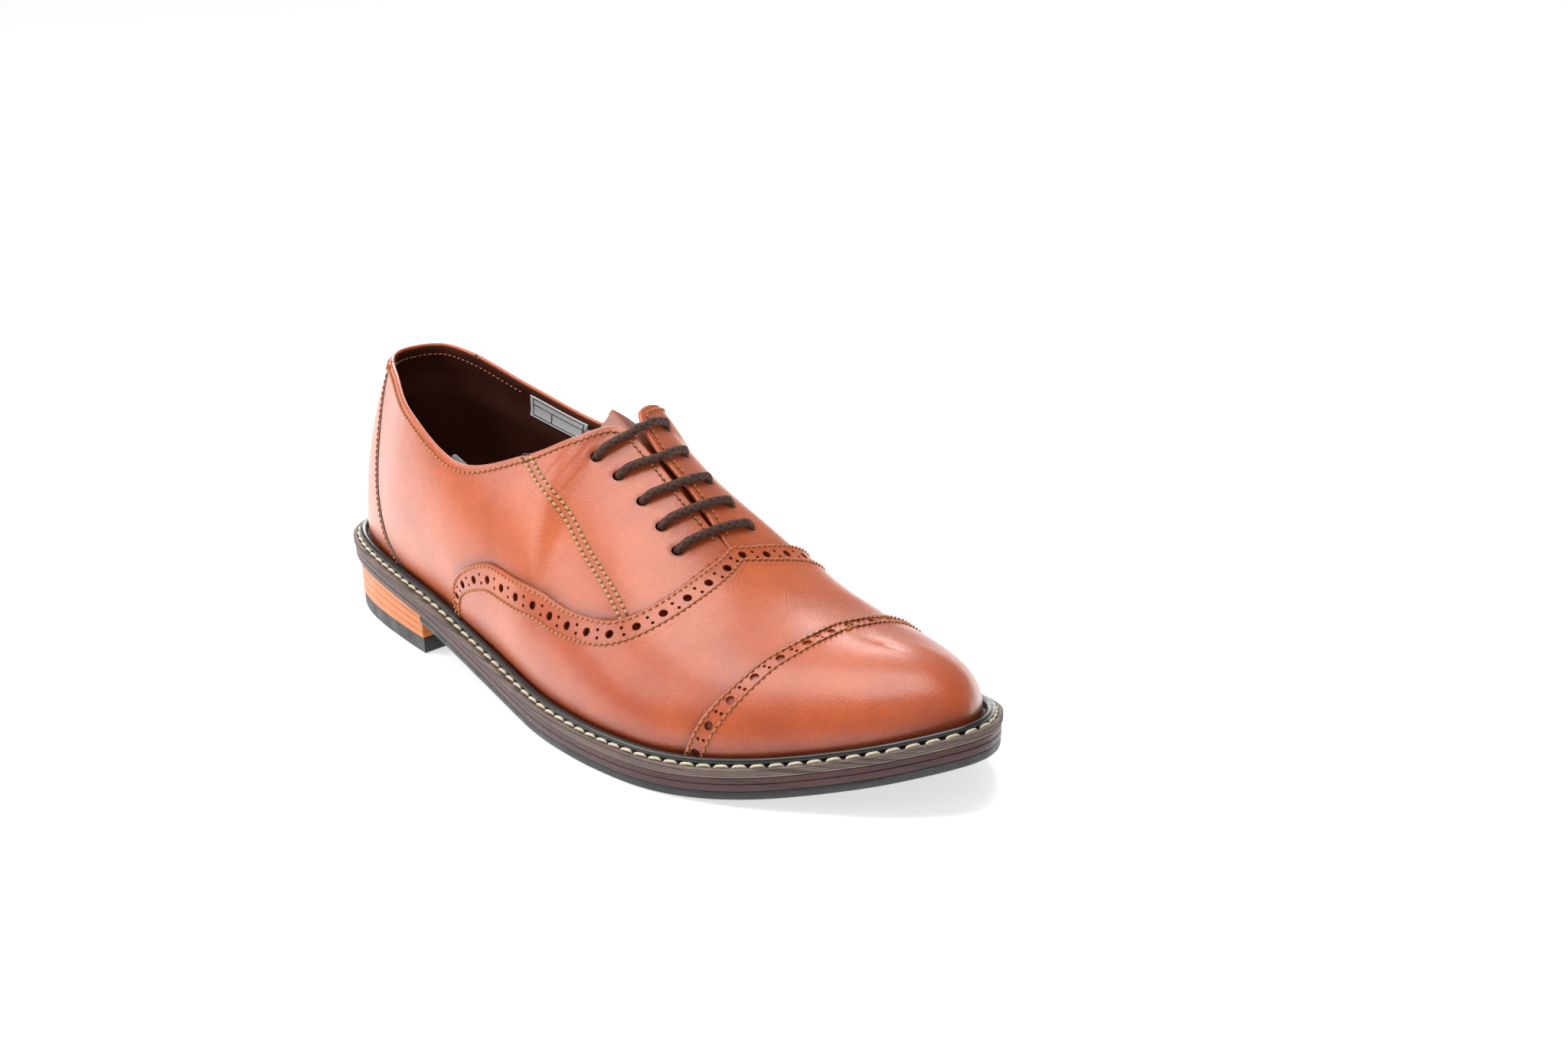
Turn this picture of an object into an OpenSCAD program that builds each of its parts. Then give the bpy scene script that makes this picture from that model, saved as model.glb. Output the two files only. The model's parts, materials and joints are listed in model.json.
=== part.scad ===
// Right-foot leather oxford shoe with a straight toe cap.
// X runs from heel to toe, Y from the outer side (-) to the inner side (+), Z up.
// Tables are written with x measured along the sole from near the heel back.

/* [Sole] */
// Thickness of the rubber outsole under the forepart
outsole_t = 3; // [2:0.5:3]
// Thickness of the midsole
midsole_t = 4.5; // [3.5:0.5:4.5]
// Thickness of the welt
welt_t = 3; // [2.5:0.5:3]
// Height of the rubber top piece of the heel
top_piece_h = 6; // [4:0.5:8]
// Number of leather lifts in the heel
lifts = 4; // [2:1:5]
// Length of one welt stitch
stitch_len = 4.2; // [3:0.2:4.6]
// Distance from one welt stitch to the next
stitch_pitch = 6; // [5.4:0.2:8]

/* [Upper] */
// Thickness of the outer leather
leather_t = 1; // [0.8:0.1:1]
// Thickness of the lining leather
lining_t = 0.9; // [0.6:0.1:0.9]
// Space kept between two layers of leather
layer_gap = 0.3; // [0.3:0.05:0.4]
// Thickness of the tongue
tongue_t = 1.6; // [1.2:0.1:2]

/* [Lacing] */
// Diameter of the punched lace holes
hole_d = 4.2; // [4:0.1:4.6]
// Diameter of the round lace
lace_d = 3; // [2.4:0.1:3]

/* [Hidden] */

// move from the table frame to the middle of the shoe's footprint
frame_x = -156.25;
frame_y = 3.3;
K = 18;              // last station, the middle of the toe

// sole edge: x, outer y, inner y
O = [[-4,4,4],[0,-9,17],[10,-19.5,27],[30,-28,34.5],[60,-35,34],[95,-41,31],[130,-48,32],[152,-53,36.5],
  [165,-56,40],[180,-58.5,43.5],[202,-60.5,49],[224,-60,53.5],[244,-55.5,53.5],[262,-48,49],[282,-36.5,39],
  [298,-26,28.5],[309,-15.5,17],[315,-6.5,7.5],[316.5,0.5,0.5]];
// underside of the midsole: x, z
ZT = [[-4,20.5],[40,18.3],[77,15.5],[100,12.2],[130,7.8],[160,4.4],[185,3.2],[215,3],[240,3.6],[265,6.6],[290,12.2],[318,20.5]];
// distance of the upper's base line in from the sole edge
IN = [6.2,6.2,6.2,6.2,6.2,6.8,7.5,7.5,7.5,7.5,7.5,7.5,8.4,8.8,8.8,9,9.5,10,10];
// guide curves of the upper: x, outer y, inner y, outer z, inner z
G1 = [[6,5,5,48,48],[8,-5,15,48,48],[15,-16.5,25,48,48],[33,-25.5,33,48,48],[60,-36,33.5,47,47],[96,-42,31.5,42,42],
  [130,-49,34,38,38],[152,-54,38,36,38],[165,-56,41,34,37],[180,-58,45,32,35],[202,-60,50,30,32],[224,-57,51,29.5,29.5],
  [243,-52,49,30,30],[260,-43,43,32,31],[279,-31,33,35,34],[293,-21,24,37,36],[301.5,-11.5,14,38,38],[305,-4.5,7,38.5,38.5],[306,1,1,38.5,38.5]];
G2 = [[9,6,6,76,76],[11,-3,14,76,76],[18,-12,22,76,76],[36,-20,27,75,75],[64,-32,29.5,70,69],[99,-42,32,63,63],
  [131,-42,36,64,65],[150,-42,40,66,70],[161,-40,41,65,71],[175,-40,41,60,66],[196,-39,39,53,58],[217,-34,34,47,49],
  [234,-30,30,43.5,44],[249,-25,26,42,41],[266,-18,21,42,40.5],[277,-12,14.5,42,41],[285,-6.5,9.5,42,42],[289,-2,5,42,42],[290,1,1,42,42]];
G3 = [[18,8,8,97,97],[20,0,15.5,97,97],[27,-7.5,20.5,96.5,96.5],[43,-17,22.5,95,94],[70,-30,25.5,88,86.5],[106,-35.5,31.5,77.5,77],
  [132,-27,30,83.5,84],[147,-17,20,90.5,94],[155,-3.5,5.5,93,96],[166,-0.8,2.2,86,87],[184,-0.5,2.5,73.5,74],[204,1,1,58.5,58.5],
  [219,1,1,50,50],[232,1,1,46,46],[245,1,1,43.5,43.5],[256,1,1,42,42],[263,1,1,41,41],[267,1,1,40.5,40.5],[269,1,1,40.3,40.3]];
// rear edge of the vamp: station, height on the outer side, height on the inner side
WING = [[5.1,0,0],[5.25,0.26,0.16],[5.5,0.39,0.31],[5.75,0.45,0.37],[6,0.48,0.39],[6.5,0.465,0.36],[7,0.455,0.34],[8,0.45,0.32],
  [9,0.46,0.345],[9.6,0.495,0.39],[10,0.53,0.46],[10.4,0.63,0.62],[10.7,0.77,0.76],[10.9,0.92,0.9],[11,1,1]];
// rear edge of the toe cap: height, station
CAP = [[0,11.7],[0.1,11.85],[0.2,12],[0.3,12.2],[0.4,12.45],[0.5,12.72],[0.6,13],[0.7,13.35],[0.8,13.7],[0.9,14.1],[1,14.55]];
// front edge of the back panel: height, station on the outer and the inner side
BACK = [[0,3.9,3.9],[0.1,3.55,3.8],[0.2,3.35,3.7],[0.4,3.05,3.5],[0.7,2.75,3.3],[1,2.3,2.9]];
// line about which each facing opens: station, height on the outer and the inner side
FOLD = [[5.9,1,1],[6,0.98,0.97],[6.2,0.93,0.92],[6.5,0.88,0.84],[7,0.81,0.76],[7.5,0.76,0.72],[8,0.73,0.68],[8.5,0.72,0.68],
  [9,0.72,0.69],[9.5,0.72,0.7],[10,0.72,0.7],[10.55,0.7,0.7],[11,0.7,0.7]];
// lace holes: station, height on the outer and the inner side
HOLES = [[7.88,0.9,0.895],[8.72,0.89,0.87],[9.43,0.89,0.865],[9.93,0.88,0.86],[10.34,0.86,0.845]];
// loose ends of the lace, tucked in along the walls
END_OUT = [[137,-20,73],[128,-24.5,71],[120,-28,70.5],[113,-30.5,71.5],[108,-31.2,73]];
END_IN = [[137,22,73],[128,25,71],[120,26.5,69.5],[113,27.2,69.5],[108,27.5,70.5]];
TAG_OUT = [[107.8,-31.3,73.1],[103.5,-31.6,74.8],[97,-31.4,77]];
TAG_IN = [[107.8,27.5,70.6],[103.5,27.2,72],[97,26.4,74]];

// ---- curves
function swap(r) = len(r) == 3 ? [r[0], r[2], r[1]] : [r[0], r[2], r[1], r[4], r[3]];
function row(T, i) = i < 0 ? swap(T[1]) : i > len(T)-1 ? swap(T[len(T)-2]) : T[i];
function spl(T, t) = let(n = len(T), i = max(0, min(n-2, floor(t))), f = t-i,
  a = row(T, i-1), b = T[i], c = T[i+1], d = row(T, i+2))
  0.5*(2*b + (c-a)*f + (2*a-5*b+4*c-d)*f*f + (3*b-3*c+d-a)*f*f*f);
function seg(T, x, i=0) = i >= len(T)-2 || x < T[i+1][0] ? i : seg(T, x, i+1);
function slope(T, k, c) = let(a = max(k-1, 0), b = min(k+1, len(T)-1)) (T[b][c]-T[a][c])/(T[b][0]-T[a][0]);
function herm(T, x, c=1) = let(i = seg(T, x), w = T[i+1][0]-T[i][0], f = (x-T[i][0])/w,
  m = slope(T, i, c)*w, n = slope(T, i+1, c)*w)
  (2*f*f*f-3*f*f+1)*T[i][c] + (f*f*f-2*f*f+f)*m + (3*f*f-2*f*f*f)*T[i+1][c] + (f*f*f-f*f)*n;
function lin(T, x, c=1) = let(i = seg(T, x), f = (x-T[i][0])/(T[i+1][0]-T[i][0])) T[i][c]*(1-f) + T[i+1][c]*f;
function sm(a, b, x) = let(f = max(0, min(1, (x-a)/(b-a)))) f*f*(3-2*f);
function mix(a, b, f) = a + (b-a)*f;
function ipick(t) = let(i = max(0, min(K-1, floor(t)))) mix(IN[i], IN[i+1], t-i);
function unit(v) = v/norm(v);

// ---- sole edge; s is 1 on the outer side and 2 on the inner side
function sgn(s) = s == 1 ? -1 : 1;
function edge0(s, t) = let(p = spl(O, t)) [p[0], p[s]];
function edge(s, t, d) = let(p = edge0(s, t), g = unit(edge0(s, min(K, t+0.01)) - edge0(s, max(0, t-0.01))))
  [p[0] - g[1]*d*sgn(s), p[1] + g[0]*d*sgn(s)];
function zsole(x) = herm(ZT, x) + outsole_t - 3;
welt_top = midsole_t + welt_t;
rise = outsole_t - 3 + welt_top - 7.5;
EDGE_T = [0.2, 0.5, 0.8, 1.15, 1.5, 1.8, 2.2, 2.6, 3, 3.4, 3.8, 4.15, 4.5, 4.8, 5.2, 5.6, 6, 6.5, 7, 7.6, 8.2, 8.8, 9.4, 10, 10.5, 11,
  11.4, 11.8, 12.2, 12.6, 13, 13.35, 13.7, 14, 14.35, 14.7, 15, 15.3, 15.6, 15.85, 16.1, 16.35, 16.6, 16.85, 17.1, 17.4, 17.7, 17.9];
HEEL_T = [for (t = EDGE_T) if (t < 4.45) t, 4.48];

// ---- surface of the upper, outer face of the quarters
function raw(s, u, v) = let(e = edge(s, u, -ipick(u)), a = spl(G1, u), b = spl(G2, u), c = spl(G3, u), w = 1-v,
  p0 = [e[0], e[1], herm(ZT, e[0]) + 7.6], p1 = [a[0], a[s], a[s+2]], p2 = [b[0], b[s], b[s+2]], p3 = [c[0], c[s], c[s+2]])
  p0*(w*w*w) + p1*(3*w*w*v) + p2*(3*w*v*v) + p3*(v*v*v) + [0, 0, rise];
function nrm(s, u, v) = let(q = v > 0.9 ? min(u, K-0.4) : u, h = 0.02,
  n = unit(cross(raw(s, min(K, q+h), v) - raw(s, max(0, q-h), v), raw(s, q, min(1, v+h)) - raw(s, q, max(0, v-h))))*(-sgn(s)))
  (v > 0.999 && u > 11.5) || u > K-0.01 || u < 0.01 ? unit([n[0], 0, n[2]]) : n;
function pt(s, u, v, d) = let(p = raw(s, u, v) + nrm(s, u, v)*d) [p[0], p[1], max(p[2], zsole(p[0]) + welt_top + 0.12)];
function wing(s, u) = max(0, min(1, lin(WING, u, s)));
function fold(s, u) = min(1, lin(FOLD, u, s));
// depth of the lining below the outer face: deeper over the heel counter and the toe puff
function lin_d(u, v) = -leather_t - layer_gap - (lining_t + layer_gap + 0.2)*(sm(5, 4, u)*sm(0.85, 0.7, v) + sm(12.2, 12.8, u));

// ---- closed solids from point grids
module slab(A, B, flip=false) {
  m = len(A); n = len(A[0]);
  pts = [for (r = A) each r, for (r = B) each r];
  function q(a, b, c, d) = flip ? [[a, c, b], [a, d, c]] : [[a, b, c], [a, c, d]];
  faces = [
    for (i = [0:m-2], j = [0:n-2]) each q(i*n+j, (i+1)*n+j, (i+1)*n+j+1, i*n+j+1),
    for (i = [0:m-2], j = [0:n-2]) each q(m*n+i*n+j+1, m*n+(i+1)*n+j+1, m*n+(i+1)*n+j, m*n+i*n+j),
    for (i = [0:m-2]) each q(m*n+i*n, m*n+(i+1)*n, (i+1)*n, i*n),
    for (i = [0:m-2]) each q(i*n+n-1, (i+1)*n+n-1, m*n+(i+1)*n+n-1, m*n+i*n+n-1),
    for (j = [0:n-2]) each q(j, j+1, m*n+j+1, m*n+j),
    for (j = [0:n-2]) each q(m*n+(m-1)*n+j, m*n+(m-1)*n+j+1, (m-1)*n+j+1, (m-1)*n+j)];
  polyhedron(pts, faces, convexity=10);
}
// a shell closed over the ridge from row z on and folded shut at the toe in the last row;
// each row runs up the outer side (h points) and down the inner side (h points)
module shell(A, B, z) {
  m = len(A); n = len(A[0]); h = n/2;
  pts = [for (r = A) each r, for (r = B) each r];
  function id(i, j) = let(a = (i >= z && j == h) ? h-1 : j, b = (i == m-1 && a >= h) ? n-1-a : a) i*n + b;
  function ok(t) = t[0] != t[1] && t[1] != t[2] && t[0] != t[2];
  function q(a, b, c, d) = [for (t = [[a, c, b], [a, d, c]]) if (ok(t)) t];
  o = m*n;
  faces = [
    for (i = [0:m-2], j = [0:n-2]) if (j != h-1) each q(id(i,j), id(i+1,j), id(i+1,j+1), id(i,j+1)),
    for (i = [0:m-2], j = [0:n-2]) if (j != h-1) each q(o+id(i,j+1), o+id(i+1,j+1), o+id(i+1,j), o+id(i,j)),
    for (i = [0:m-2]) each q(o+id(i,0), o+id(i+1,0), id(i+1,0), id(i,0)),
    for (i = [0:m-2]) each q(id(i,n-1), id(i+1,n-1), o+id(i+1,n-1), o+id(i,n-1)),
    for (i = [0:1:z-1]) each q(id(i,h-1), id(i+1,h-1), o+id(i+1,h-1), o+id(i,h-1)),
    for (i = [0:1:z-1]) each q(o+id(i,h), o+id(i+1,h), id(i+1,h), id(i,h)),
    for (j = [0:n-2]) if (j != h-1) each q(id(0,j), id(0,j+1), o+id(0,j+1), o+id(0,j))];
  polyhedron(pts, faces, convexity=10);
}
// a layer of the sole between heights a and b above the midsole's underside
module layer(T, d, lo, hi, x1=-10) {
  R = [for (t = T) let(k = is_function(d) ? d(t) : d, p = edge(1, t, -k), q = edge(2, t, -k)) [[max(p[0], x1), p[1]], [max(q[0], x1), q[1]]]];
  slab([for (r = R) [for (p = r) [p[0], p[1], hi(p[0])]]], [for (r = R) [for (p = r) [p[0], p[1], lo(p[0])]]], flip=true);
}
// a ring round the whole sole edge; P lists [distance in from the edge, height]
module ring(P, step=1) {
  T = [0, each EDGE_T];
  W = concat([for (t = T) [1, t]], [[1, K]], [for (i = [len(T)-1:-1:1]) [2, T[i]]]);
  m = len(W); n = len(P);
  pts = [for (w = W, p = P) let(e = edge(w[0], w[1], -p[0])) [e[0], e[1], zsole(e[0]) + p[1]]];
  faces = [for (i = [0:m-1], j = [0:n-1]) let(a = i*n+j, b = i*n+(j+1)%n, c = ((i+1)%m)*n+(j+1)%n, d = ((i+1)%m)*n+j)
    each [[a, b, c], [a, c, d]]];
  polyhedron(pts, faces, convexity=10);
}
// a round tube along a list of points
module tube(C, d, n=8) {
  m = len(C); r = d/2;
  function dir(i) = unit(C[min(i+1, m-1)] - C[max(i-1, 0)]);
  function side(i) = let(t = dir(i), s = cross(t, abs(t[2]) > 0.9 ? [1, 0, 0] : [0, 0, 1])) unit(s);
  pts = [for (i = [0:m-1], k = [0:n-1]) let(t = dir(i), a = side(i), b = cross(t, a)) C[i] + r*(cos(k*360/n)*a + sin(k*360/n)*b)];
  faces = [for (i = [0:m-2], k = [0:n-1]) each [[i*n+k, (i+1)*n+(k+1)%n, i*n+(k+1)%n], [i*n+k, (i+1)*n+k, (i+1)*n+(k+1)%n]],
    [for (k = [0:n-1]) k], [for (k = [n-1:-1:0]) (m-1)*n+k]];
  polyhedron(pts, faces, convexity=10);
}
module place() translate([frame_x, frame_y, 0]) children();

// ---- sole
module top_piece() color([0.12,0.12,0.13]) place()
  layer(HEEL_T, 2.6, function(x) 0, function(x) top_piece_h - 0.05);
module heel_lifts() color([0.72,0.42,0.16]) place()
  for (k = [0:lifts-1]) layer(HEEL_T, 2.2,
    function(x) mix(top_piece_h, zsole(x) - 0.05, k/lifts) + 0.03, function(x) mix(top_piece_h, zsole(x) - 0.05, (k+1)/lifts) - 0.03);
module outsole() color([0.08,0.08,0.09]) place()
  layer([for (t = EDGE_T) if (t > 4.45) t], 0.8, function(x) max(0, zsole(x) - outsole_t), function(x) zsole(x) - 0.03);
module midsole() color([0.22,0.08,0.08]) place()
  layer(EDGE_T, 0.6, function(x) zsole(x), function(x) zsole(x) + midsole_t - 0.05);
module welt() color([0.42,0.36,0.32]) place()
  ring([[0,midsole_t],[0,welt_top-0.5],[0.4,welt_top],[1.1,welt_top],[1.5,welt_top-0.8],[2.9,welt_top-0.8],[3.2,welt_top],[9.5,welt_top],[9.5,midsole_t]]);
module bead() color([0.05,0.045,0.045]) place()
  ring([for (k = [0:5]) [3.9 - 1.2*cos(60*k), welt_top + 1.2 + 1.2*sin(60*k)]]);
// arc length along one side up to parameter t
function along(s, t, a=0, n=0) = a + 0.1 >= t ? n : along(s, t, a+0.1, n + norm(edge(s, a+0.1, -2.2) - edge(s, a, -2.2)));
function run(s) = [for (i = 0, a = 0, n = 0; a <= K; i = i+1, n = n + norm(edge(s, min(K, a+0.05), -2.2) - edge(s, a, -2.2)), a = a+0.05) [n, a]];
module welt_stitching() color([0.85,0.8,0.68]) place()
  for (s = [1, 2]) let(R = run(s), L = R[len(R)-1][0], c = floor(L/stitch_pitch))
    for (k = [0:c-1]) let(n = (k+0.5)*L/c, a = lin(R, n - 0.5), b = lin(R, n + 0.5), p = edge(s, a, -2.2), q = edge(s, b, -2.2),
      m = (p+q)/2, z = zsole(m[0]) + welt_top, h = zsole(q[0]) - zsole(p[0]))
      translate([m[0], m[1], z]) rotate([0, 0, atan2(q[1]-p[1], q[0]-p[0])]) rotate([0, -atan2(h, norm(q-p)), 0])
        cube([stitch_len, 1, 1], center=true);
module cork_filler() color([0.6,0.45,0.3]) place()
  layer([for (t = EDGE_T) if (t > 8.5 && t < 17) t], 11, function(x) zsole(x) + midsole_t + 0.05, function(x) zsole(x) + midsole_t + 1.6);
module shank() color([0.6,0.6,0.62]) place()
  slab([for (x = [52:11:162]) [for (y = [-9, 9]) [x, y*sm(30, 60, x)*(1 - 0.3*sm(120, 165, x)) - 2, zsole(x) + midsole_t + 1.5]]],
       [for (x = [52:11:162]) [for (y = [-9, 9]) [x, y*sm(30, 60, x)*(1 - 0.3*sm(120, 165, x)) - 2, zsole(x) + midsole_t + 0.1]]], flip=true);
module insole() color([0.62,0.48,0.34]) place()
  layer([for (t = EDGE_T) if (t < 17.3) t], 13, function(x) zsole(x) + midsole_t + 1.8, function(x) zsole(x) + welt_top + 0.8);
module sock_lining() color([0.24,0.1,0.06]) place()
  layer([for (t = EDGE_T) if (t < 17.3) t], function(t) 10.6 + 2.6*sm(11.3, 12.6, t) + 2*sm(15, 17, t), function(x) zsole(x) + welt_top + 0.9, function(x) zsole(x) + welt_top + 2);

// ---- upper
function patch(s, U, n, lo, hi, d) = [for (u = U) [for (j = [0:n]) let(v = mix(lo(u), hi(u), j/n)) pt(s, u, v, d(u, v))]];
// round the heel from the outer side (-1) to the inner side (1)
function wrap(W, n, us, hi, d, v0=0) = [for (w = W) let(s = w < 0 ? 1 : 2) [for (j = [0:n])
  let(q = v0 + (1-v0)*j/n, u = us(s, abs(w), q), v = q*hi(s, u)) pt(s, u, v, d(u, v))]];
function seam(s, v) = herm(BACK, v, s);
QU = [for (k = [0:30]) k/30];
function quarter_u(s, p, q) = p < 0.45 ? mix(seam(s, q) + 0.03, 5.9, p/0.45) : mix(5.9, 10.85, (p-0.45)/0.55);
function quarter_hi(s, u) = u <= 5.9 ? 1 : min(fold(s, u), u > 10.3 ? wing(s, u) - 0.03 : 1) - 0.004;
function quarter_rows(s, d) = [for (p = QU) [for (j = [0:8]) let(q = j/8, u = quarter_u(s, p, q), v = q*quarter_hi(s, u)) pt(s, u, v, d)]];
module quarter(s) slab(quarter_rows(s, 0), quarter_rows(s, -leather_t), flip = s == 1);
module quarter_lateral() color([0.72,0.33,0.16]) place() quarter(1);
module quarter_medial() color([0.72,0.33,0.16]) place() quarter(2);
BW = [-1, -0.88, -0.75, -0.62, -0.5, -0.38, -0.26, -0.13, 0, 0.13, 0.26, 0.38, 0.5, 0.62, 0.75, 0.88, 1];
module back_panel() color([0.7,0.32,0.16]) place() {
  us = function(s, w, q) w*(seam(s, q) - 0.03);
  slab(wrap(BW, 8, us, function(s, u) 1, function(u, v) 0), wrap(BW, 8, us, function(s, u) 1, function(u, v) -leather_t), flip=false);
}
module back_tabs() color([0.62,0.28,0.13]) place()
  for (s = [1, 2]) let(u = s == 1 ? 2.3 : 2.9, U = [u-0.1, u, u+0.1])
    slab(patch(s, U, 3, function(u) 0.93, function(u) 0.995, function(u, v) 1), patch(s, U, 3, function(u) 0.93, function(u) 0.995, function(u, v) 0.15), flip = s == 1);
LH = [0.3, 0.7, 1.1, 1.5, 1.9, 2.3, 2.7, 3.1, 3.5, 3.9, 4.4, 4.9, 5.4, 5.9, 6.2, 6.5, 6.8, 7.2, 7.6, 8, 8.4, 8.8, 9.3, 9.8, 10.3, 10.85];
LW = concat([for (i = [len(LH)-1:-1:0]) -LH[i]], [0], LH);
module quarter_lining() color([0.28,0.09,0.06]) place()
  slab(wrap(LW, 8, function(s, w, q) w, function(s, u) quarter_hi(s, u), function(u, v) lin_d(u, v)),
       wrap(LW, 8, function(s, w, q) w, function(s, u) quarter_hi(s, u), function(u, v) lin_d(u, v) - lining_t), flip=false);
module heel_counter() color([0.75,0.68,0.55]) place() {
  W = [-3.7, -3.2, -2.7, -2.2, -1.7, -1.2, -0.8, -0.4, 0, 0.4, 0.8, 1.2, 1.7, 2.2, 2.7, 3.2, 3.7];
  hi = function(s, u) 0.62 - 0.25*sm(2.5, 3.7, u);
  slab(wrap(W, 7, function(s, w, q) w, hi, function(u, v) -leather_t - layer_gap - 0.2, 0.03),
       wrap(W, 7, function(s, w, q) w, hi, function(u, v) -leather_t - layer_gap - lining_t, 0.03), flip=false);
}
// rows from the outer base line over the ridge to the inner base line
function arch(U, n, lo, hi, d) = [for (u = U) concat([for (j = [0:n]) let(v = mix(lo(1, u), hi(1, u), j/n)) pt(1, u, v, d(u, v))],
  [for (j = [n:-1:0]) let(v = mix(lo(2, u), hi(2, u), j/n)) pt(2, u, v, d(u, v))])];
VU = [5.14, 5.3, 5.5, 5.75, 6, 6.4, 6.8, 7.2, 7.6, 8, 8.4, 8.8, 9.2, 9.6, 10, 10.3, 10.55, 10.75, 10.9, 11, 11.15, 11.4, 11.8, 12.2, 12.6, 13, 13.4, 13.8, 14.2, 14.6, 15, 15.4, 15.8, 16.2, 16.6, 17, 17.5, 18];
module vamp() color([0.74,0.34,0.17]) place() {
  A = arch(VU, 8, function(s, u) 0, function(s, u) wing(s, u), function(u, v) layer_gap + leather_t + 0.1);
  B = arch(VU, 8, function(s, u) 0, function(s, u) wing(s, u), function(u, v) mix(layer_gap + 0.1, -leather_t, sm(10.85, 11.2, u)));
  shell(A, B, 19);
}
LU = [10.95, 11.15, 11.4, 11.8, 12.2, 12.6, 13, 13.4, 13.8, 14.2, 14.6, 15, 15.4, 15.8, 16.2, 16.6, 17, 17.5, 18];
module vamp_lining() color([0.28,0.09,0.06]) place()
  shell(arch(LU, 8, function(s, u) 0, function(s, u) 1, function(u, v) lin_d(u, v)),
        arch(LU, 8, function(s, u) 0, function(s, u) 1, function(u, v) lin_d(u, v) - lining_t), 0);
CP = [0, 0.06, 0.14, 0.23, 0.32, 0.42, 0.52, 0.62, 0.72, 0.82, 0.91, 1];
function cap_rows(d, k=0, v0=0) = [for (p = CP) concat(
  [for (j = [0:8]) let(v = v0 + (1-v0)*j/8, u = mix(herm(CAP, v) + k, K, p)) pt(1, u, v, d)],
  [for (j = [8:-1:0]) let(v = v0 + (1-v0)*j/8, u = mix(herm(CAP, v) + k, K, p)) pt(2, u, v, d)])];
module toe_cap() color([0.72,0.33,0.16]) place() shell(cap_rows(2*(layer_gap + leather_t) + 0.1), cap_rows(2*layer_gap + leather_t + 0.1), 0);
module toe_puff() color([0.75,0.68,0.55]) place()
  shell(cap_rows(-leather_t - layer_gap, 0.9, 0.04), cap_rows(-leather_t - layer_gap - lining_t + 0.1, 0.9, 0.04), 0);
module size_label() color([0.8,0.8,0.78]) place() {
  U = [4, 4.25, 4.5, 4.75];
  slab(patch(2, U, 4, function(u) 0.8, function(u) 0.95, function(u, v) lin_d(u, v) - lining_t - 0.45),
       patch(2, U, 4, function(u) 0.8, function(u) 0.95, function(u, v) lin_d(u, v) - lining_t - 0.85), flip=false);
}

// ---- facings
FU = [6.05, 6.25, 6.5, 6.8, 7.1, 7.4, 7.7, 8, 8.35, 8.7, 9.05, 9.4, 9.75, 10.1, 10.35, 10.55, 10.75, 10.9];
function flo(s, u) = max(fold(s, u) + 0.012, wing(s, u) + 0.025);
module hole(s, k, d, a, b) let(h = HOLES[k], p = pt(s, h[0], h[s], 0), n = nrm(s, h[0], h[s]))
  translate(p) rotate([0, acos(n[2]), atan2(n[1], n[0])]) translate([0, 0, a]) cylinder(h=b-a, d=d, $fn=18);
module facing(s, a, b) difference() {
  slab(patch(s, FU, 5, function(u) flo(s, u), function(u) 1, function(u, v) a), patch(s, FU, 5, function(u) flo(s, u), function(u) 1, function(u, v) b), flip = s == 1);
  for (k = [0:4]) hole(s, k, hole_d, b-2, a+2);
}
module rings(s) for (k = [0:4]) difference() {
  hole(s, k, 8, -leather_t - layer_gap - lining_t - 0.9, -leather_t - layer_gap - lining_t - 0.3);
  hole(s, k, hole_d + 0.4, -5, 0);
}
function lace_rows(s, k) = let(h = HOLES[k], p = pt(s, h[0], h[s], 0), n = nrm(s, h[0], h[s]), r = lace_d/2 + (k == 0 ? 1.45 : 0.75),
  a = pt(s, h[0], 1, 0), c = 0.5*(a + pt(3-s, h[0], 1, 0)), e = unit(c - p), f = unit([0, -sgn(s), 0]), top = unit(cross([0, 1, 0], pt(1, h[0]-0.2, 1, 0) - pt(1, h[0]+0.2, 1, 0))))
  concat([p - n*2.5, p - n*1.2, p + n*0.4, p + n*(r - 0.8) + e*0.5], [for (w = [0.2, 0.4, 0.6, 0.8]) pt(s, h[0], mix(h[s], 1, w), r)],
    [c + top*(r + 0.2) - f*1.4, c + top*(r + 0.2) - f*0.2]);
module lace(s) for (k = [0:4]) tube(lace_rows(s, k), lace_d, 7);
module facing_lateral() color([0.74,0.34,0.17]) place() facing(1, 0, -leather_t);
module facing_medial() color([0.74,0.34,0.17]) place() facing(2, 0, -leather_t);
module facing_lining_lateral() color([0.28,0.09,0.06]) place() facing(1, -leather_t - layer_gap, -leather_t - layer_gap - lining_t);
module facing_lining_medial() color([0.28,0.09,0.06]) place() facing(2, -leather_t - layer_gap, -leather_t - layer_gap - lining_t);
module hole_rings_lateral() color([0.5,0.42,0.3]) place() rings(1);
module hole_rings_medial() color([0.5,0.42,0.3]) place() rings(2);
module lace_lateral() color([0.3,0.18,0.13]) place() lace(1);
module lace_medial() color([0.3,0.18,0.13]) place() lace(2);

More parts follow.
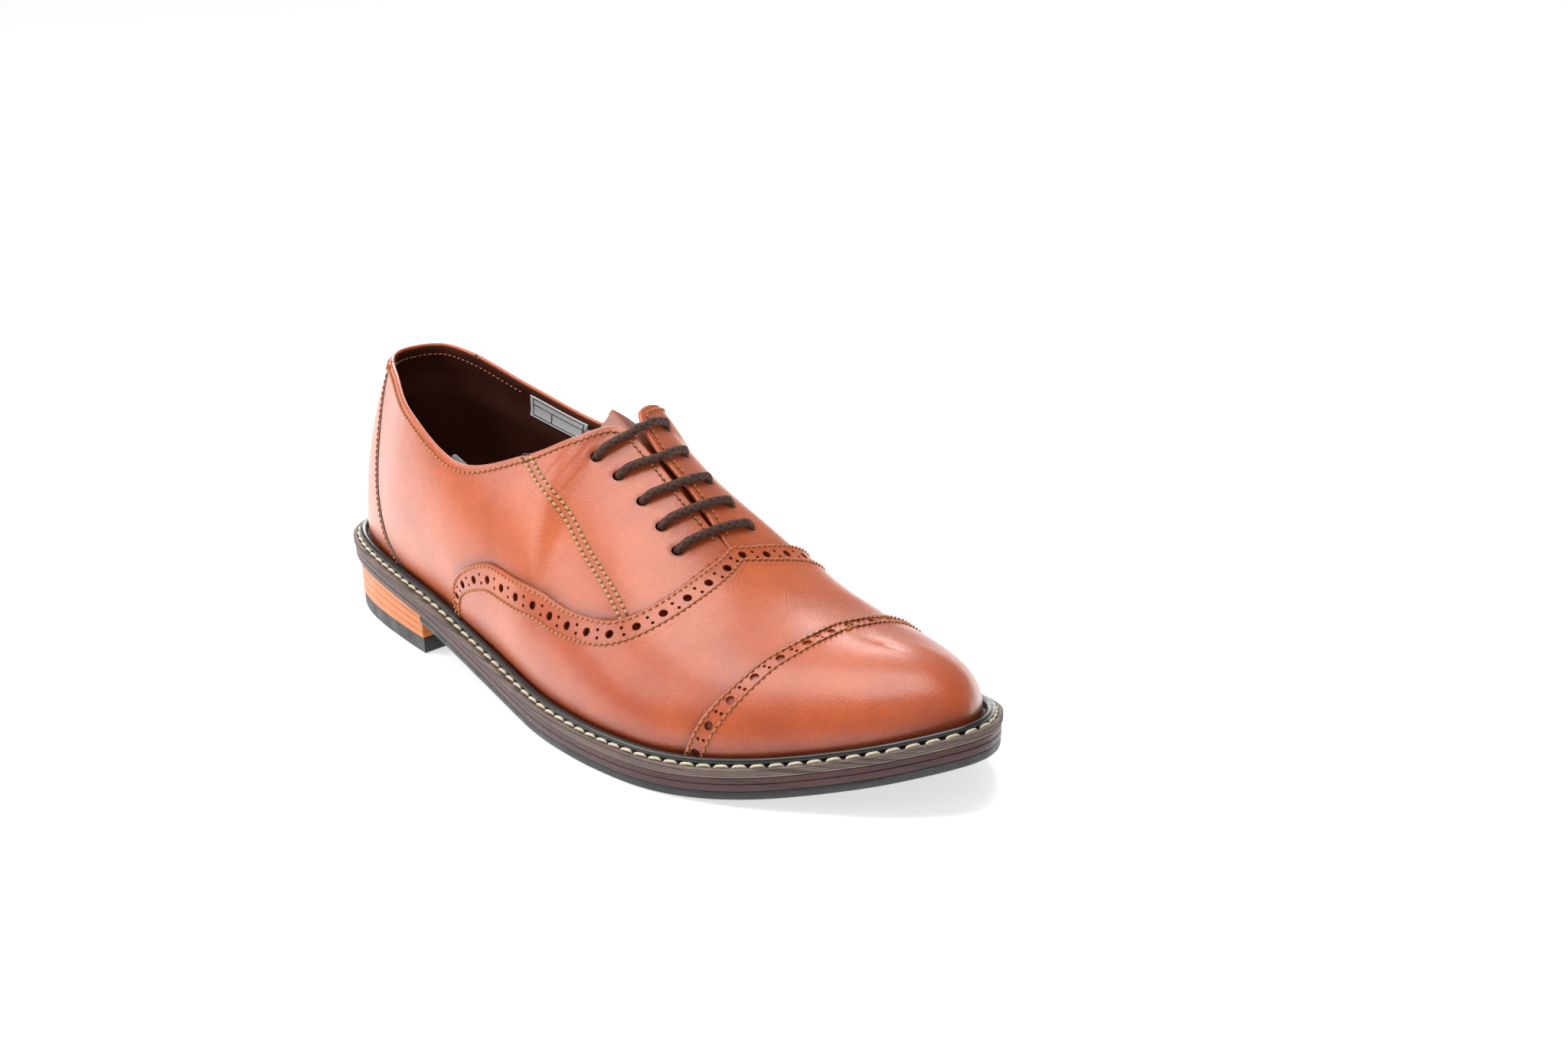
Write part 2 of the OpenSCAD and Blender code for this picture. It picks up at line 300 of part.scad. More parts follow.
// ---- tongue
TU = [10.8, 10.5, 10.2, 9.9, 9.6, 9.3, 9, 8.8];
TV = [0.77, 0.82, 0.88, 0.94, 1];
function tongue_row(u, d) = concat([for (v = TV) pt(1, u, v, d)], [for (i = [4:-1:0]) pt(2, u, TV[i], d)]);
function tongue_rows(d) = concat([for (u = TU) tongue_row(u, d)],
  [for (k = [5, 10, 15, 19]) let(r = tongue_row(8.8, d), c = 0.5*(r[4] + r[5])) [for (p = r)
    [mix(c[0], p[0], 0.9), mix(c[1], p[1], 1 - 0.02*k), mix(c[2], p[2], 1 - 0.02*k)] + k*[-0.83, 0, 0.5]]]);
module tongue() color([0.6,0.27,0.13]) place() slab(tongue_rows(-3.6), tongue_rows(-3.6 - tongue_t), flip=false);
module tongue_lining() color([0.28,0.09,0.06]) place() slab(tongue_rows(-4 - tongue_t), tongue_rows(-4.7 - tongue_t), flip=false);
module lace_end_lateral() color([0.3,0.18,0.13]) place() tube(END_OUT, lace_d);
module lace_end_medial() color([0.3,0.18,0.13]) place() tube(END_IN, lace_d);
module lace_tag_lateral() color([0.25,0.25,0.27]) place() tube(TAG_OUT, lace_d - 0.4);
module lace_tag_medial() color([0.25,0.25,0.27]) place() tube(TAG_IN, lace_d - 0.4);

top_piece();
heel_lifts();
outsole();
midsole();
welt();
welt_stitching();
bead();
cork_filler();
shank();
insole();
sock_lining();
heel_counter();
toe_puff();
quarter_lining();
vamp_lining();
back_panel();
back_tabs();
quarter_lateral();
quarter_medial();
vamp();
toe_cap();
size_label();
facing_lateral();
facing_lining_lateral();
hole_rings_lateral();
lace_lateral();
facing_medial();
facing_lining_medial();
hole_rings_medial();
lace_medial();
tongue();
tongue_lining();
lace_end_lateral();
lace_end_medial();
lace_tag_lateral();
lace_tag_medial();
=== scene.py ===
import bpy
import bmesh
import json
import math
import numpy as np
from mathutils import Matrix, Vector

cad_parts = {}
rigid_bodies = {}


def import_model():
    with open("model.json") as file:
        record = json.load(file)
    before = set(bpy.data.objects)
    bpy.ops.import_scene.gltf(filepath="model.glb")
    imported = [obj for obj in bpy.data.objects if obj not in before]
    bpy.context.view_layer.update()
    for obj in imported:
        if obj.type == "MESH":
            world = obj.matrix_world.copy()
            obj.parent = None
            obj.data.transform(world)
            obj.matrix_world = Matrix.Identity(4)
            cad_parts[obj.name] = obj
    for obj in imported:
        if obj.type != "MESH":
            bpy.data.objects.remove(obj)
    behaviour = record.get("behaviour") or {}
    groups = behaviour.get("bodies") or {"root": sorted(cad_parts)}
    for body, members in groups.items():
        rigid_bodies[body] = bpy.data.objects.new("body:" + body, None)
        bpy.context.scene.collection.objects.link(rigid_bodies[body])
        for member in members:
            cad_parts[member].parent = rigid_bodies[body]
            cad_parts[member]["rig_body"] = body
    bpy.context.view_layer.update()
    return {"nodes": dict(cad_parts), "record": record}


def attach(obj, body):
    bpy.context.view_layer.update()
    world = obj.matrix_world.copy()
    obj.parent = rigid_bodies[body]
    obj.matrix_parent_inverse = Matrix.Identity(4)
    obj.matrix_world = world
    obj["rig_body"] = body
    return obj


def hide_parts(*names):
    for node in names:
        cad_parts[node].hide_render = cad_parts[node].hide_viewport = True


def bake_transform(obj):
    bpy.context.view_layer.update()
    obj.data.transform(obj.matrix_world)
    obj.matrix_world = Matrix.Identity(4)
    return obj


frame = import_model()

# ---------------------------------------------------------------- shape tables (mm, x from near the heel back)
FX, FY, K = -156.25, 3.3, 18
MID, WELT_TOP, OUT_T, HEEL_H = 4.5, 7.5, 3.0, 6.0
O = [[-4,4,4],[0,-9,17],[10,-19.5,27],[30,-28,34.5],[60,-35,34],[95,-41,31],[130,-48,32],[152,-53,36.5],
  [165,-56,40],[180,-58.5,43.5],[202,-60.5,49],[224,-60,53.5],[244,-55.5,53.5],[262,-48,49],[282,-36.5,39],
  [298,-26,28.5],[309,-15.5,17],[315,-6.5,7.5],[316.5,0.5,0.5]]
ZT = [[-4,20.5],[40,18.3],[77,15.5],[100,12.2],[130,7.8],[160,4.4],[185,3.2],[215,3],[240,3.6],[265,6.6],[290,12.2],[318,20.5]]
IN = [6.2,6.2,6.2,6.2,6.2,6.8,7.5,7.5,7.5,7.5,7.5,7.5,8.4,8.8,8.8,9,9.5,10,10]
G1 = [[6,5,5,48,48],[8,-5,15,48,48],[15,-16.5,25,48,48],[33,-25.5,33,48,48],[60,-36,33.5,47,47],[96,-42,31.5,42,42],
  [130,-49,34,38,38],[152,-54,38,36,38],[165,-56,41,34,37],[180,-58,45,32,35],[202,-60,50,30,32],[224,-57,51,29.5,29.5],
  [243,-52,49,30,30],[260,-43,43,32,31],[279,-31,33,35,34],[293,-21,24,37,36],[301.5,-11.5,14,38,38],[305,-4.5,7,38.5,38.5],[306,1,1,38.5,38.5]]
G2 = [[9,6,6,76,76],[11,-3,14,76,76],[18,-12,22,76,76],[36,-20,27,75,75],[64,-32,29.5,70,69],[99,-42,32,63,63],
  [131,-42,36,64,65],[150,-42,40,66,70],[161,-40,41,65,71],[175,-40,41,60,66],[196,-39,39,53,58],[217,-34,34,47,49],
  [234,-30,30,43.5,44],[249,-25,26,42,41],[266,-18,21,42,40.5],[277,-12,14.5,42,41],[285,-6.5,9.5,42,42],[289,-2,5,42,42],[290,1,1,42,42]]
G3 = [[18,8,8,97,97],[20,0,15.5,97,97],[27,-7.5,20.5,96.5,96.5],[43,-17,22.5,95,94],[70,-30,25.5,88,86.5],[106,-35.5,31.5,77.5,77],
  [132,-27,30,83.5,84],[147,-17,20,90.5,94],[155,-3.5,5.5,93,96],[166,-0.8,2.2,86,87],[184,-0.5,2.5,73.5,74],[204,1,1,58.5,58.5],
  [219,1,1,50,50],[232,1,1,46,46],[245,1,1,43.5,43.5],[256,1,1,42,42],[263,1,1,41,41],[267,1,1,40.5,40.5],[269,1,1,40.3,40.3]]
WING = [[5.1,0,0],[5.25,0.26,0.16],[5.5,0.39,0.31],[5.75,0.45,0.37],[6,0.48,0.39],[6.5,0.465,0.36],[7,0.455,0.34],[8,0.45,0.32],
  [9,0.46,0.345],[9.6,0.495,0.40],[10,0.53,0.49],[10.4,0.63,0.67],[10.7,0.77,0.83],[10.9,0.92,0.95],[11,1,1]]
CAP = [[0,11.7],[0.1,11.85],[0.2,12],[0.3,12.2],[0.4,12.45],[0.5,12.72],[0.6,13],[0.7,13.35],[0.8,13.7],[0.9,14.1],[1,14.55]]
BACK = [[0,3.9,3.9],[0.1,3.55,3.8],[0.2,3.35,3.7],[0.4,3.05,3.5],[0.7,2.75,3.3],[1,2.3,2.9]]
HOLES = [[7.88,0.9,0.895],[8.72,0.89,0.87],[9.43,0.89,0.865],[9.93,0.88,0.86],[10.34,0.86,0.845]]
END_OUT = [[137,-20,73],[128,-24.5,71],[120,-28,70.5],[113,-30.5,71.5],[108,-31.2,73]]
END_IN = [[137,22,73],[128,25,71],[120,26.5,69.5],[113,27.2,69.5],[108,27.5,70.5]]
TAG_OUT = [[107.4,-31.3,73.2],[103.5,-31.6,74.8],[97,-31.4,77]]
TAG_IN = [[107.4,27.5,70.7],[103.5,27.2,72],[97,26.4,74]]
DOUBLE_OUT = [[6,1],[6.6,.86],[7.25,.77],[7.9,.71],[8.5,.675],[9,.65],[9.45,.625],[9.8,.595],[10.15,.55]]
DOUBLE_IN = [[5.96,1],[6.81,.76],[7.54,.65],[8.51,.59],[9.12,.55],[9.85,.44]]

# ---------------------------------------------------------------- the upper's surface
def swapped(r):
    return [r[0], r[2], r[1]] if len(r) == 3 else [r[0], r[2], r[1], r[4], r[3]]

def extended(T):
    return np.array([swapped(T[1])] + T + [swapped(T[-2])], float)

EO, E1, E2, E3 = extended(O), extended(G1), extended(G2), extended(G3)
INA = np.array(IN, float)

def spl(E, t):
    n = len(E) - 2
    t = np.asarray(t, float)
    i = np.clip(np.floor(t).astype(int), 0, n - 2)
    f = (t - i)[..., None]
    a, b, c, d = E[i], E[i + 1], E[i + 2], E[i + 3]
    return 0.5 * (2*b + (c - a)*f + (2*a - 5*b + 4*c - d)*f*f + (3*b - 3*c + d - a)*f**3)

def herm(T, x, c=1):
    T = np.asarray(T, float)
    x = np.asarray(x, float)
    n = len(T)
    i = np.clip(np.searchsorted(T[:, 0], x, side="right") - 1, 0, n - 2)
    w = T[i + 1, 0] - T[i, 0]
    f = (x - T[i, 0]) / w
    def slope(k):
        a, b = np.maximum(k - 1, 0), np.minimum(k + 1, n - 1)
        return (T[b, c] - T[a, c]) / (T[b, 0] - T[a, 0])
    m, q = slope(i) * w, slope(i + 1) * w
    return (2*f**3 - 3*f*f + 1)*T[i, c] + (f**3 - 2*f*f + f)*m + (3*f*f - 2*f**3)*T[i + 1, c] + (f**3 - f*f)*q

def zsole(x):
    return herm(ZT, x)

def smooth(a, b, x):
    f = np.clip((np.asarray(x, float) - a) / (b - a), 0, 1)
    return f * f * (3 - 2 * f)

def side(q, s, c=0):
    return np.where(s == 1, q[..., 1 + c], q[..., 2 + c])

def unit(v):
    return v / np.maximum(np.linalg.norm(v, axis=-1, keepdims=True), 1e-12)

def edge(s, t, d):
    s, t = np.broadcast_arrays(np.asarray(s), np.asarray(t, float))
    p, a, b = spl(EO, t), spl(EO, np.maximum(t - 0.01, 0)), spl(EO, np.minimum(t + 0.01, K))
    g = unit(np.stack([b[..., 0] - a[..., 0], side(b, s) - side(a, s)], -1))
    sg = np.where(s == 1, -1.0, 1.0)
    return np.stack([p[..., 0] - g[..., 1]*d*sg, side(p, s) + g[..., 0]*d*sg], -1)

def raw(s, u, v):
    s, u, v = np.broadcast_arrays(np.asarray(s), np.asarray(u, float), np.asarray(v, float))
    e = edge(s, u, -np.interp(u, np.arange(K + 1), INA))
    p0 = np.stack([e[..., 0], e[..., 1], zsole(e[..., 0]) + 7.6], -1)
    g = [np.stack([q[..., 0], side(q, s), side(q, s, 2)], -1) for q in (spl(E1, u), spl(E2, u), spl(E3, u))]
    v = v[..., None]
    w = 1 - v
    return p0*w**3 + 3*g[0]*w*w*v + 3*g[1]*w*v*v + g[2]*v**3

def derivs(s, u, v):
    q = np.where(np.asarray(v) > 0.9, np.minimum(u, K - 0.4), u)
    h = 0.02
    a, b = np.minimum(K, q + h), np.maximum(0, q - h)
    c, d = np.minimum(1, np.asarray(v) + h), np.asarray(v) - h
    return ((raw(s, a, v) - raw(s, b, v)) / (a - b)[..., None] if np.ndim(a) else (raw(s, a, v) - raw(s, b, v)) / (a - b),
            (raw(s, q, c) - raw(s, q, d)) / (c - d)[..., None] if np.ndim(c) else (raw(s, q, c) - raw(s, q, d)) / (c - d))

def nrm(s, u, v):
    s, u, v = np.broadcast_arrays(np.asarray(s), np.asarray(u, float), np.asarray(v, float))
    su, sv = derivs(s, u, v)
    n = unit(np.cross(su, sv)) * np.where(s == 1, 1.0, -1.0)[..., None]
    flat = ((v > 0.999) & (u > 11.5)) | (u > K - 0.01) | (u < 0.01)
    return np.where(flat[..., None], unit(n * np.array([1, 0, 1.0])), n)

def pt(s, u, v, d=0.0):
    return raw(s, u, v) + nrm(s, u, v) * (np.asarray(d, float)[..., None] if np.ndim(d) else d)

def wing(s, u):
    T = np.array(WING)
    return np.where(np.asarray(s) == 1, np.interp(u, T[:, 0], T[:, 1]), np.interp(u, T[:, 0], T[:, 2]))

def seam(s, v):
    return herm(BACK, v, s)

def lin_d(u, v):
    return -1.3 - 1.4 * (smooth(5, 4, u) * smooth(0.85, 0.7, v) + smooth(12.2, 12.8, u))

# a curve on the surface is (s, u, v) arrays
class Curve:
    def __init__(self, s, u, v):
        self.s, self.u, self.v = np.asarray(s), np.asarray(u, float), np.asarray(v, float)
    def at(self, d=0.0):
        return pt(self.s, self.u, self.v, d)
    def n(self):
        return nrm(self.s, self.u, self.v)
    def length(self):
        p = self.at()
        return np.concatenate([[0], np.cumsum(np.linalg.norm(np.diff(p, axis=0), axis=-1))])
    def even(self, step, lo=0.0, hi=None, n=None):
        L = self.length()
        hi = L[-1] if hi is None else hi
        n = n or max(2, int(round((hi - lo) / step)) + 1)
        t = np.linspace(lo, hi, n)
        # the side changes only on the ridge or the heel's middle, where both sides agree
        w = np.where(self.s == 1, self.v, 2 - self.v)
        over = self.s[0] != self.s[-1] and abs(self.v[0]) < 0.5 and self.u.min() > 0.5
        if over:
            w, u = np.interp(t, L, w), np.interp(t, L, self.u)
            return Curve(np.where(w <= 1, 1, 2), u, np.where(w <= 1, w, 2 - w))
        w = np.where(self.s == 1, -self.u, self.u)
        w, v = np.interp(t, L, w), np.interp(t, L, self.v)
        return Curve(np.where(w <= 0, 1, 2), np.abs(w), v)
    def shift(self, delta, steps=4):
        """moves the curve across the surface, to its left seen from outside for a positive delta"""
        s, u, v = self.s.copy(), self.u.copy(), self.v.copy()
        delta = np.broadcast_to(np.asarray(delta, float), u.shape)
        for _ in range(steps):
            p = raw(s, u, v)
            t = unit(np.gradient(p, axis=0))
            su, sv = derivs(s, u, v)
            n = unit(np.cross(su, sv)) * np.where(s == 1, 1.0, -1.0)[..., None]
            b = np.cross(n, t) * (delta / steps)[..., None]
            a11, a12, a22 = (su*su).sum(-1), (su*sv).sum(-1), (sv*sv).sum(-1)
            b1, b2 = (su*b).sum(-1), (sv*b).sum(-1)
            det = np.maximum(a11*a22 - a12*a12, 1e-6)
            u = u + (b1*a22 - b2*a12)/det
            v = v + (b2*a11 - b1*a12)/det
            over = (v > 1) & (u > 10.9)
            s = np.where(over, 3 - s, s)
            v = np.minimum(np.where(over, 2 - v, v), 1)
            u = np.clip(u, 0, K)
            v = np.maximum(v, -0.06)
        return Curve(s, u, v)

def settle(c, size):
    """evens out a curve that crosses the ridge, over about size samples to each side of the crossing"""
    w = np.where(c.s == 1, c.v, 2 - c.v)
    n = max(3, int(size*2.5))
    k = np.exp(-0.5*(np.arange(-n, n + 1)/float(size))**2)
    k /= k.sum()
    u2 = np.convolve(np.pad(c.u, n, mode="edge"), k, "valid")
    w2 = np.convolve(np.pad(w, n, mode="edge"), k, "valid")
    i = np.arange(len(w))
    f = np.exp(-np.clip(np.abs(i - np.argmin(np.abs(w - 1))) - size*0.8, 0, None)**2/(2.0*(size*1.2)**2))
    u2, w2 = c.u*(1 - f) + u2*f, w*(1 - f) + w2*f
    return Curve(np.where(w2 <= 1, 1, 2), u2, np.where(w2 <= 1, w2, 2 - w2))

def soften(G, mid, size, amount=None):
    """rounds off a grid's columns across the ridge, which lies between columns mid - 1 and mid"""
    n = int(size*2.5)
    k = np.exp(-0.5*(np.arange(-n, n + 1)/float(size))**2)
    k /= k.sum()
    j = np.arange(G.shape[1])
    w = np.exp(-np.clip(np.abs(j - mid + 0.5) - size, 0, None)**2/(2.0*(size*1.3)**2))
    w[:n] = 0
    w[-n:] = 0
    S = sum(k[i + n]*np.roll(G, -i, axis=1) for i in range(-n, n + 1))
    w = w[None, :, None] if amount is None else w[None, :, None]*amount[:, None, None]
    out = G*(1 - w) + S*w
    c = 0.5*(out[:, mid - 1] + out[:, mid])
    if amount is None:
        out[:, mid - 1] = out[:, mid] = c
    return out

def wing_curve(n=400):
    """the vamp's rear edge, from the outer base line over the ridge to the inner base line"""
    T = np.array(WING)
    k = np.linspace(0, len(T) - 1, n)
    def half(c):
        a = np.stack([T[:, 0], T[:, c]], -1)
        e = np.vstack([2*a[0] - a[1], a, 2*a[-1] - a[-2]])
        if c == 1:
            e[-1] = [T[-2, 0], 2 - T[-2, 2]]
        else:
            e[-1] = [T[-2, 0], 2 - T[-2, 1]]
        i = np.clip(np.floor(k).astype(int), 0, len(T) - 2)
        f = (k - i)[:, None]
        p0, p1, p2, p3 = e[i], e[i+1], e[i+2], e[i+3]
        q = 0.5*((2*p1) + (p2-p0)*f + (2*p0-5*p1+4*p2-p3)*f*f + (3*p1-3*p2+p3-p0)*f**3)
        return q
    L, M = half(1), half(2)[::-1][1:]
    s = np.concatenate([np.full(len(L), 1), np.full(len(M), 2)])
    u = np.concatenate([L[:, 0], M[:, 0]])
    v = np.clip(np.concatenate([L[:, 1], M[:, 1]]), 0, 1)
    c = Curve(s, u, v).even(0.5)
    w = np.where(c.s == 1, c.v, 2 - c.v)
    k = np.exp(-0.5*(np.arange(-24, 25)/8.0)**2)
    k /= k.sum()
    u2 = np.convolve(np.pad(c.u, 24, mode="edge"), k, "valid")
    w2 = np.convolve(np.pad(w, 24, mode="edge"), k, "valid")
    f = np.clip(np.minimum(np.arange(len(w)), np.arange(len(w))[::-1])/30.0, 0, 1)
    u2, w2 = c.u*(1 - f) + u2*f, w*(1 - f) + w2*f
    return settle(Curve(np.where(w2 <= 1, 1, 2), u2, np.clip(np.where(w2 <= 1, w2, 2 - w2), 0, 1)), 9)

def cap_curve(n=300):
    w = np.linspace(0, 2, n)
    v = np.where(w <= 1, w, 2 - w)
    return Curve(np.where(w <= 1, 1, 2), herm(CAP, v), v)

# ---------------------------------------------------------------- mesh helpers
SMOOTH = math.radians(38)

def to_row(p):
    return (np.asarray(p, float).reshape(-1, 3) + np.array([FX, FY, 0.0])) / 1000.0

def make(name, pts, faces, mat, slot=None, body="shoe", attrs=None, flat=False, recalc=True, metres=False):
    V = np.asarray(pts, float).reshape(-1, 3) if metres else to_row(pts)
    me = bpy.data.meshes.new(name)
    me.from_pydata(V.tolist(), [], [f for f in faces])
    me.validate()
    if attrs:
        for k, a in attrs.items():
            at = me.attributes.new(k, "FLOAT", "POINT")
            at.data.foreach_set("value", np.ascontiguousarray(np.asarray(a, np.float32).ravel()))
    ob = bpy.data.objects.new(name, me)
    bpy.context.scene.collection.objects.link(ob)
    if recalc:
        bm = bmesh.new()
        bm.from_mesh(me)
        bmesh.ops.recalc_face_normals(bm, faces=bm.faces)
        bm.to_mesh(me)
        bm.free()
    if not flat:
        me.shade_smooth()
        me.set_sharp_from_angle(angle=SMOOTH)
    me.materials.append(mat)
    if body:
        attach(ob, body)
    return ob

def quads(m, n, o=0, close_m=False, close_n=False):
    i = np.arange(m if close_m else m - 1)
    j = np.arange(n if close_n else n - 1)
    I, J = np.meshgrid(i, j, indexing="ij")
    I, J = I.ravel(), J.ravel()
    I2, J2 = (I + 1) % m, (J + 1) % n
    return (np.stack([I*n + J, I2*n + J, I2*n + J2, I*n + J2], -1) + o).tolist()

def clean(faces):
    out = []
    for f in faces:
        g = [a for k, a in enumerate(f) if a != f[k - 1]]
        if len(set(g)) >= 3 and len(set(g)) == len(g):
            out.append(g)
    return out

def slab(A, B):
    """points and faces of a closed solid between two point grids"""
    m, n = A.shape[:2]
    o = m * n
    f = quads(m, n) + [q[::-1] for q in quads(m, n, o)]
    for i in range(m - 1):
        f.append([i*n, o + i*n, o + (i+1)*n, (i+1)*n])
        f.append([i*n + n-1, (i+1)*n + n-1, o + (i+1)*n + n-1, o + i*n + n-1])
    for j in range(n - 1):
        f.append([j, j+1, o + j+1, o + j])
        e = (m-1)*n
        f.append([e + j, o + e + j, o + e + j+1, e + j+1])
    return np.concatenate([A.reshape(-1, 3), B.reshape(-1, 3)]), f

def weld(P, f, tol=1e-4):
    """merges coincident points"""
    key = np.round(P / tol).astype(np.int64)
    _, first, inv = np.unique(key, axis=0, return_index=True, return_inverse=True)
    inv = inv.ravel()
    return P[first], clean([[int(inv[a]) for a in q] for q in f]), first

def frames(P, N=None):
    T = unit(np.gradient(P, axis=0))
    if N is None:
        N = np.zeros_like(P)
        n = unit(np.cross(T[0], np.array([0, 0, 1.0]) if abs(T[0][2]) < 0.9 else np.array([1.0, 0, 0])))
        for i in range(len(P)):
            n = unit(n - T[i] * (n @ T[i]))
            N[i] = n
    else:
        N = unit(N - T * (N * T).sum(-1, keepdims=True))
    return T, N, np.cross(T, N)

def tube(P, r, n=16, N=None, shape=None, closed=False):
    """points and faces of a round tube along P; shape(i, angle) scales the radius"""
    P = np.asarray(P, float)
    m = len(P)
    if closed:
        Q = np.vstack([P[-2:-1] if np.allclose(P[0], P[-1]) else P[-1:], P, P[1:2] if np.allclose(P[0], P[-1]) else P[:1]])
        T, NN, B = frames(Q, None if N is None else np.vstack([N[-1:], N, N[:1]]))
        T, NN, B = T[1:-1], NN[1:-1], B[1:-1]
    else:
        T, NN, B = frames(P, N)
    a = np.arange(n) * 2*np.pi/n
    R = np.broadcast_to(np.asarray(r, float).reshape(-1, 1), (m, n)).copy()
    if shape is not None:
        R = R * shape(np.arange(m)[:, None], a[None, :])
    V = P[:, None, :] + R[..., None] * (np.cos(a)[None, :, None]*NN[:, None, :] + np.sin(a)[None, :, None]*B[:, None, :])
    f = quads(m, n, close_m=closed, close_n=True)
    V = V.reshape(-1, 3)
    if not closed:
        f = f + [list(range(n))[::-1], [(m-1)*n + k for k in range(n)]]
    return V, f

def crom(P, n, loop=False):
    """n points on a smooth curve through P"""
    P = np.asarray(P, float)
    E = np.vstack([2*P[0] - P[1], P, 2*P[-1] - P[-2]])
    k = np.linspace(0, len(P) - 1, 60*(len(P) - 1) + 1)
    i = np.clip(np.floor(k).astype(int), 0, len(P) - 2)
    f = (k - i)[:, None]
    a, b, c, d = E[i], E[i+1], E[i+2], E[i+3]
    Q = 0.5*(2*b + (c-a)*f + (2*a-5*b+4*c-d)*f*f + (3*b-3*c+d-a)*f**3)
    L = np.concatenate([[0], np.cumsum(np.linalg.norm(np.diff(Q, axis=0), axis=-1))])
    t = np.linspace(0, L[-1], n)
    return np.stack([np.interp(t, L, Q[:, j]) for j in range(Q.shape[1])], -1)

def join(parts):
    V, F, o = [], [], 0
    for v, f in parts:
        V.append(v)
        F += [[a + o for a in q] for q in f]
        o += len(v)
    return np.concatenate(V), F

def cut(ob, cutters, name="cutter"):
    """takes the cutters' solids out of ob"""
    V, F = join(cutters)
    me = bpy.data.meshes.new(name)
    me.from_pydata(to_row(V).tolist(), [], F)
    bm = bmesh.new(); bm.from_mesh(me)
    bmesh.ops.recalc_face_normals(bm, faces=bm.faces)
    bm.to_mesh(me); bm.free()
    co = bpy.data.objects.new(name, me)
    bpy.context.scene.collection.objects.link(co)
    mod = ob.modifiers.new("holes", "BOOLEAN")
    bm = bmesh.new(); bm.from_mesh(ob.data)
    whole = all(e.is_manifold for e in bm.edges)
    bm.free()
    mod.operation, mod.solver, mod.object = "DIFFERENCE", "MANIFOLD" if whole else "EXACT", co
    bpy.context.view_layer.update()
    dg = bpy.context.evaluated_depsgraph_get()
    out = bpy.data.meshes.new_from_object(ob.evaluated_get(dg), preserve_all_data_layers=True, depsgraph=dg)
    ob.modifiers.clear()
    old = ob.data
    ob.data = out
    out.name = old.name + "_cut"
    bpy.data.meshes.remove(old)
    bpy.data.objects.remove(co)
    bpy.data.meshes.remove(me)
    out.shade_smooth()
    out.set_sharp_from_angle(angle=SMOOTH)
    return ob

def cylinder(P, N, r, lo, hi, n=20, X=None, squash=1.0):
    """a round cutter through P along N"""
    N = unit(np.asarray(N, float))
    X = unit(np.cross(N, [0, 0, 1.0])) if X is None else unit(X - N*(X @ N))
    Y = np.cross(N, X)
    a = np.arange(n)*2*np.pi/n
    ring = r*(np.cos(a)[:, None]*X + squash*np.sin(a)[:, None]*Y)
    V = np.concatenate([P + N*lo + ring, P + N*hi + ring])
    f = [[k, (k+1) % n, n + (k+1) % n, n + k] for k in range(n)] + [list(range(n))[::-1], [n + k for k in range(n)]]
    return V, f

# ---------------------------------------------------------------- stitches
def capsule(L, w, h, na=7, nr=6, dip=0.55):
    """one stitch lying along x: a thread that comes up, lies on the leather and goes down again"""
    t = np.linspace(-1, 1, na)
    x = t * L/2
    z = h*0.45 - dip*h*np.abs(t)**4 * 1.6
    k = np.sqrt(np.maximum(0, 1 - np.abs(t)**4))*0.8 + 0.2
    a = np.arange(nr)*2*np.pi/nr
    V = np.stack([np.repeat(x, nr), (k[:, None]*np.cos(a)*w/2).ravel(), (z[:, None] + k[:, None]*np.sin(a)*h/2).ravel()], -1)
    f = quads(na, nr, close_n=True) + [list(range(nr))[::-1], [(na-1)*nr + j for j in range(nr)]]
    return V, f

def stitch_mesh(P, T, N, L, w, h, tilt=0.0, tmpl=None):
    V, F = tmpl or capsule(L, w, h)
    N = unit(N - T*(N*T).sum(-1, keepdims=True))
    B = np.cross(N, T)
    c, s = math.cos(tilt), math.sin(tilt)
    T2, B2 = T*c + B*s, B*c - T*s
    W = P[:, None] + V[None, :, 0:1]*T2[:, None] + V[None, :, 1:2]*B2[:, None] + V[None, :, 2:3]*N[:, None]
    k = len(V)
    faces = []
    for i in range(len(P)):
        o = i*k
        faces += [[a + o for a in q] for q in F]
    return W.reshape(-1, 3), faces

def stitch_row(curve, d, pitch=2.1, L=1.7, w=0.55, h=0.45, tilt=0.12, lo=0.0, hi=None):
    total = curve.length()[-1]
    hi = total if hi is None else hi
    n = max(2, int(round((hi - lo)/pitch)))
    c = curve.even(1.0, lo + pitch*0.5, hi - pitch*0.5, n=n)
    P = c.at(d) if np.ndim(d) == 0 else pt(c.s, c.u, c.v, d)
    T = unit(np.gradient(P, axis=0))
    return stitch_mesh(P, T, c.n(), L, w, h, tilt)
